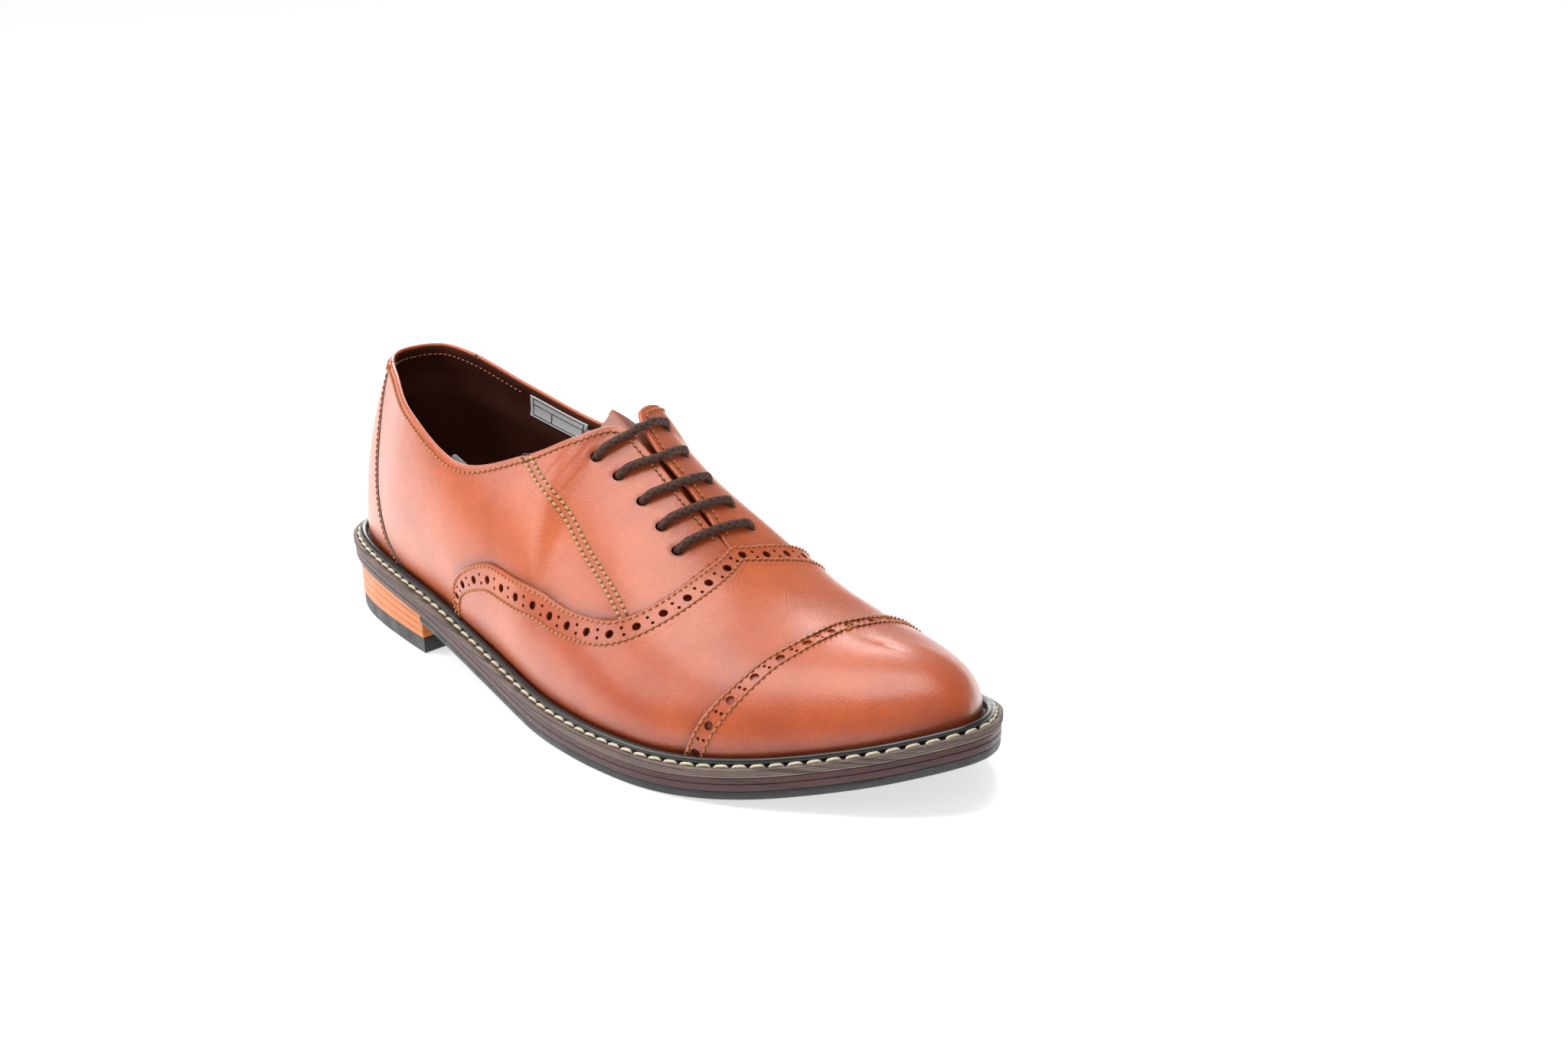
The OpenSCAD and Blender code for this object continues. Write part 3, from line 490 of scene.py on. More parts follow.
# ---------------------------------------------------------------- materials
class Mat:
    def __init__(self, name):
        self.m = bpy.data.materials.new(name)
        self.m.use_nodes = True
        self.t = self.m.node_tree
        self.t.nodes.clear()
        out = self.t.nodes.new("ShaderNodeOutputMaterial")
        self.b = self.t.nodes.new("ShaderNodeBsdfPrincipled")
        self.t.links.new(self.b.outputs[0], out.inputs[0])
        self.co = self.t.nodes.new("ShaderNodeTexCoord").outputs["Object"]
    def link(self, a, b):
        self.t.links.new(a, b)
    def set(self, **k):
        for name, v in k.items():
            self.b.inputs[name.replace("_", " ")].default_value = v
        return self
    def mapped(self, scale=(1, 1, 1), rot=(0, 0, 0)):
        n = self.t.nodes.new("ShaderNodeMapping")
        n.inputs["Scale"].default_value = scale
        n.inputs["Rotation"].default_value = rot
        self.link(self.co, n.inputs["Vector"])
        return n.outputs[0]
    def noise(self, scale, detail=3.0, rough=0.55, vec=None, distortion=0.0):
        n = self.t.nodes.new("ShaderNodeTexNoise")
        n.inputs["Scale"].default_value = scale
        n.inputs["Detail"].default_value = detail
        n.inputs["Roughness"].default_value = rough
        n.inputs["Distortion"].default_value = distortion
        self.link(self.co if vec is None else vec, n.inputs["Vector"])
        return n.outputs["Fac"] if "Fac" in n.outputs else n.outputs[0]
    def voronoi(self, scale, vec=None, feature="F1", randomness=1.0):
        n = self.t.nodes.new("ShaderNodeTexVoronoi")
        n.feature = feature
        n.inputs["Scale"].default_value = scale
        n.inputs["Randomness"].default_value = randomness
        self.link(self.co if vec is None else vec, n.inputs["Vector"])
        return n.outputs["Distance"]
    def wave(self, scale, axis="X", distortion=0.0, vec=None, detail=1.0, dscale=1.0):
        n = self.t.nodes.new("ShaderNodeTexWave")
        n.wave_type, n.bands_direction = "BANDS", axis
        n.inputs["Scale"].default_value = scale
        n.inputs["Distortion"].default_value = distortion
        n.inputs["Detail"].default_value = detail
        n.inputs["Detail Scale"].default_value = dscale
        self.link(self.co if vec is None else vec, n.inputs["Vector"])
        return n.outputs["Fac"]
    def attr(self, name):
        n = self.t.nodes.new("ShaderNodeAttribute")
        n.attribute_name = name
        return n.outputs["Fac"]
    def math(self, op, a, b=None, clamp=False):
        n = self.t.nodes.new("ShaderNodeMath")
        n.operation, n.use_clamp = op, clamp
        for i, x in enumerate((a, b)):
            if x is None:
                continue
            if isinstance(x, (int, float)):
                n.inputs[i].default_value = x
            else:
                self.link(x, n.inputs[i])
        return n.outputs[0]
    def remap(self, x, a, b, c=0.0, d=1.0):
        n = self.t.nodes.new("ShaderNodeMapRange")
        n.inputs["From Min"].default_value, n.inputs["From Max"].default_value = a, b
        n.inputs["To Min"].default_value, n.inputs["To Max"].default_value = c, d
        self.link(x, n.inputs["Value"])
        return n.outputs[0]
    def mix(self, f, a, b, blend="MIX"):
        n = self.t.nodes.new("ShaderNodeMix")
        n.data_type, n.blend_type = "RGBA", blend
        if isinstance(f, (int, float)):
            n.inputs["Factor"].default_value = f
        else:
            self.link(f, n.inputs["Factor"])
        for x, k in ((a, 6), (b, 7)):
            if isinstance(x, (tuple, list)):
                n.inputs[k].default_value = (*x, 1.0)
            else:
                self.link(x, n.inputs[k])
        return n.outputs[2]
    def colour(self, x):
        self.link(x, self.b.inputs["Base Color"])
        return self
    def rough(self, x):
        self.link(x, self.b.inputs["Roughness"])
        return self
    def bump(self, *layers):
        last = None
        for h, dist, strength in layers:
            n = self.t.nodes.new("ShaderNodeBump")
            n.inputs["Distance"].default_value = dist
            n.inputs["Strength"].default_value = strength
            self.link(h, n.inputs["Height"])
            if last is not None:
                self.link(last, n.inputs["Normal"])
            last = n.outputs[0]
        self.link(last, self.b.inputs["Normal"])
        return self

def leather(name, light, mid, dark, rough=(0.34, 0.5), coat=0.3, grain=1.0, burn=True):
    m = Mat(name)
    big = m.remap(m.noise(22, 5, 0.62), 0.36, 0.66)
    fine = m.remap(m.noise(420, 5, 0.65), 0.25, 0.75)
    cells = m.voronoi(1250)
    pores = m.noise(3600, 2, 0.6)
    c = m.mix(big, light, mid)
    c = m.mix(m.math("MULTIPLY", fine, 0.35), c, mid)
    c = m.mix(m.math("MULTIPLY", m.remap(cells, 0.1, 0.75), 0.12), c, dark)
    # mixes towards the dark colour by the vertex mask: darker towards the welt and along seams, edges and holes, plus
    # painted shade beside and under overlapping panels
    if burn:
        streak = m.remap(m.noise(90, 4, 0.6), 0.3, 0.75, 0.75, 1.2)
        c = m.mix(m.math("MULTIPLY", m.attr("burn"), streak, clamp=True), c, dark)
    m.colour(c)
    m.rough(m.remap(m.math("ADD", m.math("MULTIPLY", fine, 0.6), m.math("MULTIPLY", cells, 0.5)), 0.0, 1.0, *rough))
    m.bump((cells, 0.00011, 0.30*grain), (pores, 0.00006, 0.22*grain), (m.noise(260, 3), 0.0003, 0.10*grain))
    m.set(Coat_Weight=coat, Coat_Roughness=0.28, Specular_IOR_Level=0.45)
    return m.m

M = {}
M["tan_leather"] = leather("tan_leather", (0.60, 0.118, 0.023), (0.40, 0.060, 0.011), (0.10, 0.013, 0.004), coat=0.58, grain=2.8)
M["tan_back"] = M["tan_leather"]

def suede(name, a, b, bright=(0.1, 0.03, 0.02)):
    m = Mat(name)
    n = m.remap(m.noise(60, 4), 0.3, 0.7)
    f = m.remap(m.noise(1500, 4, 0.7), 0.3, 0.75)
    c = m.mix(n, a, b)
    c = m.mix(m.math("MULTIPLY", f, 0.3), c, bright)
    m.colour(c).rough(m.remap(f, 0, 1, 0.62, 0.85))
    m.bump((m.noise(2600, 3, 0.7), 0.0001, 0.4), (m.noise(220, 3), 0.0004, 0.12))
    m.set(Specular_IOR_Level=0.2)
    return m.m
M["lining_leather"] = suede("lining_leather", (0.070, 0.015, 0.007), (0.036, 0.007, 0.004), (0.11, 0.026, 0.012))

m = Mat("black_rubber")
f = m.remap(m.noise(900, 4, 0.6), 0.3, 0.7)
m.colour(m.mix(f, (0.010, 0.010, 0.011), (0.022, 0.022, 0.024))).rough(m.remap(m.noise(140, 4), 0.3, 0.7, 0.38, 0.58))
m.bump((m.noise(1800, 3), 0.0001, 0.35), (m.noise(160, 3), 0.0005, 0.12)).set(Specular_IOR_Level=0.5)
M["black_rubber"] = m.m

m = Mat("stacked_leather")
w = m.wave(130, "Z", 1.2, detail=2, dscale=6, vec=m.mapped((0.25, 0.25, 1)))
n = m.remap(m.noise(50, 4), 0.3, 0.7)
s = m.noise(900, 3, 0.6, vec=m.mapped((0.5, 0.5, 2.5)))
c = m.mix(n, (0.74, 0.22, 0.03), (0.58, 0.15, 0.02))
c = m.mix(m.math("MULTIPLY", m.remap(w, 0.75, 1.0), 0.22), c, (0.22, 0.07, 0.018))
c = m.mix(m.math("MULTIPLY", m.remap(s, 0.35, 0.7), 0.3), c, (0.30, 0.09, 0.03))
m.colour(c).rough(m.remap(s, 0.3, 0.7, 0.34, 0.5))
m.bump((w, 0.0002, 0.15), (s, 0.0001, 0.25)).set(Coat_Weight=0.08, Coat_Roughness=0.3, Specular_IOR_Level=0.3)
M["stacked_leather"] = m.m

def edge_leather(name, a, b, line, amount=0.5, scale=200, rough=(0.45, 0.7)):
    m = Mat(name)
    n = m.remap(m.noise(70, 4), 0.3, 0.7)
    f = m.noise(1300, 4, 0.65, vec=m.mapped((0.35, 0.35, 2.2)))
    w = m.noise(scale, 2, 0.4, vec=m.mapped((0.03, 0.03, 6)))
    c = m.mix(n, a, b)
    c = m.mix(m.math("MULTIPLY", m.remap(w, 0.52, 0.6), amount), c, line)
    c = m.mix(m.math("MULTIPLY", m.remap(f, 0.4, 0.7), 0.35), c, b)
    m.colour(c).rough(m.remap(f, 0.3, 0.7, *rough))
    m.bump((f, 0.0002, 0.45), (w, 0.0003, 0.3)).set(Specular_IOR_Level=0.4)
    return m.m
M["welt_leather"] = edge_leather("welt_leather", (0.20, 0.145, 0.125), (0.13, 0.092, 0.08), (0.035, 0.02, 0.018), 0.7)
M["midsole_leather"] = edge_leather("midsole_leather", (0.075, 0.022, 0.022), (0.045, 0.014, 0.014), (0.015, 0.006, 0.006), 0.5, 160, (0.35, 0.55))

m = Mat("welt_strip")
f = m.remap(m.noise(1500, 4, 0.7), 0.3, 0.7)
m.colour(m.mix(f, (0.030, 0.024, 0.014), (0.070, 0.058, 0.036))).rough(m.remap(f, 0, 1, 0.55, 0.85))
m.bump((m.noise(1700, 4, 0.7), 0.0003, 0.5))
M["welt_strip"] = m.m

def thread(name, a, b, twist=True):
    m = Mat(name)
    f = m.remap(m.noise(2600, 3, 0.6), 0.3, 0.7)
    m.colour(m.mix(f, a, b)).rough(m.remap(f, 0, 1, 0.5, 0.75))
    m.bump((m.noise(4200, 2), 0.0001, 0.4)).set(Sheen_Weight=0.2)
    return m.m
M["welt_thread"] = thread("welt_thread", (0.78, 0.70, 0.54), (0.52, 0.44, 0.30))
M["gold_thread"] = thread("gold_thread", (0.60, 0.22, 0.055), (0.34, 0.10, 0.025))
M["pale_thread"] = thread("pale_thread", (0.68, 0.36, 0.13), (0.42, 0.18, 0.05))
# near-black colour for the tubes laid in stitch furrows and seam gaps: painted shade, not a thread
M["dark_thread"] = thread("dark_thread", (0.03, 0.010, 0.007), (0.012, 0.005, 0.004))

m = Mat("bead_leather")
f = m.remap(m.noise(500, 4, 0.6), 0.3, 0.7)
m.colour(m.mix(f, (0.005, 0.0045, 0.0045), (0.012, 0.010, 0.009))).rough(m.remap(m.noise(300, 3), 0.3, 0.7, 0.24, 0.36))
m.bump((m.noise(500, 3), 0.0002, 0.12)).set(Coat_Weight=0.3, Coat_Roughness=0.2)
M["bead_leather"] = m.m

def plain(name, a, b, scale, rough=(0.5, 0.8), metal=0.0, bump=0.3):
    m = Mat(name)
    f = m.remap(m.noise(scale, 4, 0.6), 0.3, 0.7)
    m.colour(m.mix(f, a, b)).rough(m.remap(f, 0, 1, *rough))
    m.bump((m.noise(scale*2.5, 3), 0.0002, bump)).set(Metallic=metal)
    return m.m
M["cork"] = plain("cork", (0.42, 0.26, 0.13), (0.22, 0.12, 0.06), 420, bump=0.6)
M["steel"] = plain("steel", (0.62, 0.62, 0.64), (0.5, 0.5, 0.52), 700, (0.25, 0.45), 1.0, 0.1)
M["insole_leather"] = plain("insole_leather", (0.42, 0.25, 0.13), (0.33, 0.18, 0.09), 300)
M["fibreboard"] = plain("fibreboard", (0.52, 0.44, 0.32), (0.4, 0.33, 0.23), 900)
M["tag_plastic"] = plain("tag_plastic", (0.10, 0.09, 0.09), (0.06, 0.055, 0.055), 500, (0.2, 0.35), 0.0, 0.1)

m = Mat("label_cloth")
wx = m.wave(1500, "X")
wz = m.wave(1500, "Z")
g = m.math("MULTIPLY", m.math("ADD", wx, wz), 0.5)
m.colour(m.mix(g, (0.82, 0.82, 0.82), (0.93, 0.93, 0.93))).rough(m.remap(g, 0, 1, 0.75, 0.9)).bump((g, 0.00008, 0.4))
M["label_cloth"] = m.m
M["label_ink"] = plain("label_ink", (0.012, 0.012, 0.012), (0.03, 0.03, 0.03), 1500)

m = Mat("lace_cord")
f = m.remap(m.noise(1900, 4, 0.7), 0.35, 0.72)
sp = m.remap(m.noise(3100, 2, 0.8), 0.6, 0.78)
c = m.mix(f, (0.040, 0.014, 0.009), (0.120, 0.052, 0.036))
# painted shade in the grooves between the braid's strands
c = m.mix(m.math("MULTIPLY", m.attr("braid"), 0.9, clamp=True), c, (0.010, 0.004, 0.003))
c = m.mix(m.math("MULTIPLY", sp, 0.6), c, (0.30, 0.22, 0.18))
m.colour(c).rough(m.remap(f, 0, 1, 0.55, 0.8))
m.bump((m.noise(2600, 3), 0.00025, 0.5)).set(Sheen_Weight=0.05, Sheen_Roughness=0.4, Specular_IOR_Level=0.3)
M["lace_cord"] = m.m

for node, o in frame["nodes"].items():
    want = next((r["material_slot"] for r in frame["record"]["subparts"] if r["node"] == node), "fibreboard")
    o.data.materials.clear()
    o.data.materials.append(M.get(want, M["fibreboard"]))
# ---------------------------------------------------------------- sole
def edge_T(n=700, hi=K):
    return np.linspace(0, hi, n)

def ring_pts(P, n=700):
    """rings of a profile round the whole sole edge; P lists [distance in, height above the midsole's underside]"""
    T = edge_T(n)
    s = np.concatenate([np.full(n, 1), np.full(n - 1, 2)])
    t = np.concatenate([T, T[::-1][1:]])
    s, t = s[:-1], t[:-1]
    out = []
    for d, z in P:
        e = edge(s, t, -d)
        out.append(np.stack([e[:, 0], e[:, 1], zsole(e[:, 0]) + z], -1))
    return np.stack(out, 1), s, t

def arc(cx, cz, r, a0, a1, n):
    a = np.radians(np.linspace(a0, a1, n))
    return [[cx + r*math.cos(x), cz + r*math.sin(x)] for x in a]

def ring(name, P, mat, slot, n=700, open_profile=False, **k):
    R, s, t = ring_pts(P, n)
    f = quads(R.shape[0], R.shape[1], close_m=True, close_n=not open_profile)
    return make(name, R.reshape(-1, 3), f, mat, slot, **k)

# side wall of the welt with fine grooves between its plies, top edge, stitch channel and inner shelf
rng = np.random.default_rng(7)
W = [[9.5, MID], [0.5, MID]]
for z in (5.35, 6.1, 6.75):
    W += [[0.02, z - 0.14], [0.22, z], [0.02, z + 0.14]]
W += arc(0.55, WELT_TOP - 0.5, 0.52, 180, 90, 5)
W += [[1.15, WELT_TOP + 0.02], [1.45, WELT_TOP - 0.12], [1.6, WELT_TOP - 0.75], [2.2, WELT_TOP - 0.8], [2.85, WELT_TOP - 0.72], [3.1, WELT_TOP - 0.1], [3.4, WELT_TOP], [9.5, WELT_TOP]]
welt = ring("welt_leather_ring", W, M["welt_leather"], "welt_leather")
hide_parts("welt")
# dark floor of the stitch channel
strip = ring("welt_channel", [[1.55, WELT_TOP - 0.70], [1.75, WELT_TOP - 0.55], [2.75, WELT_TOP - 0.5], [3.05, WELT_TOP - 0.3], [3.2, WELT_TOP - 0.75]], M["welt_strip"], "welt_leather")

# bead: a thin black cord of leather lying in the corner between upper and welt
R, s_, t_ = ring_pts([[3.95 - 1.4*math.cos(a), WELT_TOP + 1.1 + 1.35*math.sin(a)] for a in np.arange(14)*2*np.pi/14], 700)
bead = make("bead_cord", R.reshape(-1, 3), quads(R.shape[0], 14, close_m=True, close_n=True), M["bead_leather"], "bead_leather")
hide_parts("bead")

# welt stitches, each a flattened two-ply thread that dips in at both ends
parts = []
for s in (1, 2):
    T = np.linspace(0, K, 4000)
    e = edge(s, T, -2.25)
    L = np.concatenate([[0], np.cumsum(np.linalg.norm(np.diff(e, axis=0), axis=-1))])
    c = int(L[-1] / 6)
    at = (np.arange(c) + 0.5) * L[-1] / c
    t = np.interp(at, L, T)
    a, b = edge(s, np.maximum(t - 0.02, 0), -2.25), edge(s, np.minimum(t + 0.02, K), -2.25)
    m_ = edge(s, t, -2.25)
    P = np.stack([m_[:, 0], m_[:, 1], zsole(m_[:, 0]) + WELT_TOP - 0.28], -1)
    Tn = unit(np.stack([b[:, 0] - a[:, 0], b[:, 1] - a[:, 1], zsole(b[:, 0]) - zsole(a[:, 0])], -1))
    parts.append(stitch_mesh(P, Tn, np.tile([0, 0, 1.0], (len(P), 1)), 5.0, 1.25, 1.15, 0.13 if s == 1 else -0.13, capsule(5.0, 1.25, 1.15, 11, 8, 0.35)))
V, F = join(parts)
welt_st = make("welt_stitches", V, F, M["welt_thread"], "welt_thread")
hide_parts("welt_stitching")

def sole_body(name, T, rings, mat, slot, lo_cap=True):
    """closed body from rings [inset, height function]; the first and last ring are filled across"""
    n = len(T)
    s = np.concatenate([np.full(n, 1), np.full(n, 2)])
    t = np.concatenate([T, T[::-1]])
    R = []
    for d, z in rings:
        e = edge(s, t, -d)
        R.append(np.stack([e[:, 0], e[:, 1], z(e[:, 0])], -1))
    m, k = len(R), 2*n
    P = np.concatenate(R)
    f = []
    for i in range(m - 1):
        for j in range(k):
            j2 = (j + 1) % k
            if j2 == 0 and False:
                continue
            f.append([i*k + j, i*k + j2, (i+1)*k + j2, (i+1)*k + j])
    for o in (0, (m-1)*k):
        for j in range(n - 1):
            f.append([o + j, o + j + 1, o + k - 2 - j, o + k - 1 - j])
    P, f, _ = weld(P, f, 1e-5)
    return make(name, P, f, mat, slot)

TM = np.concatenate([[0.02], np.linspace(0.1, 17.9, 500), [17.98]])
mid_r = [(3.0, lambda x: zsole(x)), (0.75, lambda x: zsole(x)), (0.62, lambda x: zsole(x) + 0.2), (0.6, lambda x: zsole(x) + 2.1),
  (0.85, lambda x: zsole(x) + 2.3), (0.6, lambda x: zsole(x) + 2.5), (0.55, lambda x: zsole(x) + MID - 0.3), (0.75, lambda x: zsole(x) + MID - 0.03), (3.0, lambda x: zsole(x) + MID - 0.03)]
midsole = sole_body("midsole_edge", TM, mid_r, M["midsole_leather"], "midsole_leather")
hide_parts("midsole")

TO = np.linspace(4.5, 17.97, 420)
low = lambda x: np.maximum(0, zsole(x) - OUT_T)
out_r = [(3.0, lambda x: zsole(x) - 0.03), (1.0, lambda x: zsole(x) - 0.05), (0.8, lambda x: zsole(x) - 0.35), (0.8, lambda x: low(x) + 0.8), (1.0, lambda x: low(x) + 0.25), (1.5, low), (4.0, low),
  (4.4, lambda x: low(x) + 0.35), (5.2, lambda x: low(x) + 0.35), (5.6, low), (9.0, low)]
outsole = sole_body("outsole_rubber", TO, out_r, M["black_rubber"], "black_rubber")
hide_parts("outsole")

def heel_body(name, z0, z1, inset, mat, slot, r=0.25, bulge=0.0, nodes=()):
    """a closed heel slice between two heights, rounded at its rims"""
    T = np.concatenate([np.linspace(0.02, 4.3, 170), [4.38, 4.44, 4.47]])
    n = len(T)
    s = np.concatenate([np.full(n, 1), np.full(n - 1, 2)])
    t = np.concatenate([T[::-1], T[1:]])
    xb = 0.5*(spl(EO, np.array([4.47]))[0, 0])*2
    def ring_at(d, z):
        e = edge(s, t, -d)
        x = np.minimum(e[:, 0], xb - (d - inset))
        body = np.stack([x, e[:, 1]], -1)
        nb = 14
        w = (np.arange(1, nb))[:, None]/nb
        a, b = body[-1], body[0]
        br = a*(1 - w) + b*w
        br[:, 0] -= 1.4*np.sin(np.pi*w[:, 0])
        q = np.concatenate([body, br])
        return np.stack([q[:, 0], q[:, 1], z(q[:, 0])], -1)
    P = [ring_at(inset + r + 2, z0), ring_at(inset + r, z0), ring_at(inset + 0.3*r, lambda x: z0(x) + 0.3*r), ring_at(inset, lambda x: z0(x) + r),
      ring_at(inset - bulge, lambda x: 0.5*(z0(x) + z1(x))),
      ring_at(inset, lambda x: z1(x) - r), ring_at(inset + 0.3*r, lambda x: z1(x) - 0.3*r), ring_at(inset + r, z1), ring_at(inset + r + 2, z1)]
    k = len(P[0])
    m = len(P)
    f = quads(m, k, close_n=True)
    P = np.concatenate(P)
    for o in (0, (m-1)*k):
        f.append([o + j for j in range(k)])
    return make(name, P, f, mat, slot)

lifts = 4
zt = lambda x, k: HEEL_H + (zsole(x) - 0.05 - HEEL_H)*k/lifts
for k in range(lifts):
    heel_body(f"heel_lift_{k+1}", lambda x, k=k: zt(x, k) + 0.02, lambda x, k=k: zt(x, k + 1) - 0.02, 2.2, M["stacked_leather"], "stacked_leather", 0.14)
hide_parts("heel_lifts")
top_piece = heel_body("heel_top_piece", lambda x: 0.0*x + 0.05, lambda x: 0.0*x + HEEL_H - 0.05, 2.55, M["black_rubber"], "black_rubber", 0.5, 0.05)
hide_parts("top_piece")
# nails under the heel
nails = []
for s, t in [(1, 0.9), (1, 1.6), (1, 2.4), (1, 3.2), (1, 4.0), (2, 0.9), (2, 1.6), (2, 2.4), (2, 3.2), (2, 4.0)]:
    e = edge(s, np.array([float(t)]), -9.0)[0]
    a = np.arange(12)*2*np.pi/12
    V = np.concatenate([np.stack([e[0] + r*np.cos(a), e[1] + r*np.sin(a), np.full(12, z)], -1) for r, z in ((1.0, 0.06), (1.0, 0.02), (0.7, 0.0))])
    nails.append((V, quads(3, 12, close_n=True) + [[24 + j for j in range(12)], list(range(12))[::-1]]))
V, F = join(nails)
make("heel_nails", V, F, M["steel"], "steel")

# inner sock
n = 300
T = np.concatenate([[0.3], np.linspace(0.5, 17.2, n)])
ins = 10.6 + 2.6*smooth(11.3, 12.6, T) + 2*smooth(15, 17, T)
rows = []
for w in np.linspace(0, 1, 15):
    a, b = edge(1, T, -ins), edge(2, T, -ins)
    e = a*(1 - w) + b*w
    lift = 0.9*(2*w - 1)**4
    rows.append(np.stack([e[:, 0], e[:, 1], zsole(e[:, 0]) + WELT_TOP + 2 + lift], -1))
A = np.stack(rows, 1)
B = A - np.array([0, 0, 1.1])
V, F = slab(A, B)
sock = make("sock_lining_sheet", V, F, M["lining_leather"], "lining_leather")
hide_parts("sock_lining")

def on_side(ob):
    """unparents a piece from its body, drops its body tag and bakes its transform into the mesh"""
    mw = ob.matrix_world.copy()
    ob.parent = None
    ob.matrix_world = mw
    if "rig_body" in ob:
        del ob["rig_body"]
    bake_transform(ob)
    return ob

def vlen(s, u, v):
    return np.linalg.norm(derivs(s, u, v)[1], axis=-1)

def ulen(s, u, v):
    return np.linalg.norm(derivs(s, u, v)[0], axis=-1)

ROLL = 0.8

def rolled(s, U, V, d_out, thick, roll=ROLL, lift=None):
    """outer and inner grids of a leather panel whose last column is folded over inwards; U and V are (m, n) grids"""
    d = d_out if lift is None else d_out + lift
    A = pt(s, U, V, d + np.zeros_like(U))
    B = pt(s, U, V, d + np.zeros_like(U) - thick)
    n = nrm(s, U[:, -1], V[:, -1])
    b = A[:, -1] - A[:, -2]
    tu = unit(np.gradient(A[:, -1], axis=0))
    b = b - tu*(b*tu).sum(-1, keepdims=True)
    b = unit(b - n*(b*n).sum(-1, keepdims=True))
    c = A[:, -1] - n*roll
    RA, RB = [], []
    for a in np.radians([22, 45, 67, 90, 112, 135, 157, 180]):
        RA.append(c + roll*(n*math.cos(a) + b*math.sin(a)))
        RB.append(c + 0.12*(n*math.cos(a) + b*math.sin(a)) - n*min(0.0, 0))
    RB = [B[:, -1]*(1 - k) + RB[-1]*k for k in np.linspace(0.15, 0.6, 8)]
    return np.concatenate([A, np.stack(RA, 1)], 1), np.concatenate([B, np.stack(RB, 1)], 1)

def darkening_mask_of(P_uv):
    return P_uv

def top_v(s, u, margin):
    """height at which a distance margin is left to the top edge"""
    return 1 - margin/np.maximum(vlen(s, u, np.full(np.shape(u), 0.97)), 5)

# ---- quarters with their facings
def quarter_grid(s, m=300, n=80):
    p = np.linspace(0, 1, m)
    q = np.linspace(0, 1, n)
    # finer near the seam and round the tab
    p = np.concatenate([np.array([0, 0.0008, 0.0018, 0.003]), 0.0045 + p*(1 - 0.0045)])
    P, Q = np.meshgrid(p, q, indexing="ij")
    hi = lambda u: top_v(s, u, ROLL)
    SP = 0.52
    knots_p = np.array([0, 0.45, 0.62, 0.76, 1.0])
    u_sp = np.array([0.0, 5.35, 6.35, 7.8, 11.12])
    u1 = np.interp(P, knots_p, u_sp)
    w = np.clip(P/0.45, 0, 1)
    base = seam(s, Q) + 0.036
    U = np.where(P < 0.45, base*(1 - w) + 5.35*w, u1)
    lo = np.where(U > 9.3, np.interp(U, [9.3, 10.0, 10.4, 10.7, 10.9, 11.0, 11.3], [0, wing_at(s, 10.0) - 0.10, wing_at(s, 10.4) - 0.12, wing_at(s, 10.7) - 0.14, wing_at(s, 10.9) - 0.14, 0.88, 0.94]), -0.02)
    lo = np.minimum(lo, hi(U) - 0.005)
    V = lo + (hi(U) - lo)*Q
    # straighten again: station along the seam depends on the true height
    U = np.where(P < 0.45, (seam(s, np.clip(V, 0, 1)) + 0.036)*(1 - w) + 5.35*w, U)
    return U, V, P, Q

def wing_at(s, u):
    return float(wing(s, np.array([float(u)]))[0])

def bumpy(x, c, w):
    return np.exp(-((x - c)/w)**2)

HOLE_P = {s: [(pt(s, np.array([h[0]]), np.array([h[s]]), 0.0)[0], nrm(s, np.array([h[0]]), np.array([h[s]]))[0]) for h in HOLES] for s in (1, 2)}

def near_seam(P, w=1.2):
    return np.exp(-(P/w)**2)

def darkening_and_painted_shade_field(s, U, V, X):
    """darkening of the leather towards the welt, plus painted shade on the quarter: a band of shade beside the vamp's
    edge and the part under the vamp, which shows through the holes
    """
    low = np.clip((0.12 - V)/0.12, 0, 1)**1.5*0.75
    wv = wing(s, U)
    dist = (V - wv)*vlen(s, U, np.clip(V, 0, 1))
    # painted shade on the quarter just beside the vamp's edge
    under = np.where((U > 5.0) & (U < 11.2), np.exp(-np.clip(dist, 0, 50)/2.2)*0.55, 0)
    # painted shade on the quarter under the vamp, seen through the band's holes
    below = np.where((U > 5.0) & (U < 11.4), np.clip(-dist/0.8, 0, 1)*0.95, 0)
    return np.clip(low + under + below, 0, 1)

def creases(s, U, V):
    """fine wrinkles below the top lace holes and across the waist"""
    out = np.zeros_like(U)
    for k, (u0, v0, ang, lu, lv, amp) in enumerate([(7.0, 0.93, 0.9, 0.55, 0.10, 0.22), (7.25, 0.87, 0.8, 0.6, 0.09, 0.2), (7.5, 0.81, 0.7, 0.6, 0.08, 0.16),
         (6.75, 0.85, 1.0, 0.5, 0.08, 0.18), (6.6, 0.77, 1.1, 0.5, 0.07, 0.12), (8.2, 0.82, 0.5, 0.4, 0.05, 0.12), (5.9, 0.8, 1.2, 0.5, 0.08, 0.10)]):
        du, dv = (U - u0)*22, (V - v0)*75
        a = du*math.cos(ang) + dv*math.sin(ang)
        b = -du*math.sin(ang) + dv*math.cos(ang)
        amp = amp*0.45
        out += -amp*np.exp(-(b/1.1)**2)*np.exp(-(a/7.5)**2)*(0.8 + 0.2*np.cos(a*0.9 + k)) + 0.4*amp*np.exp(-((b - 2.2)/1.5)**2)*np.exp(-(a/7.5)**2)
    return out

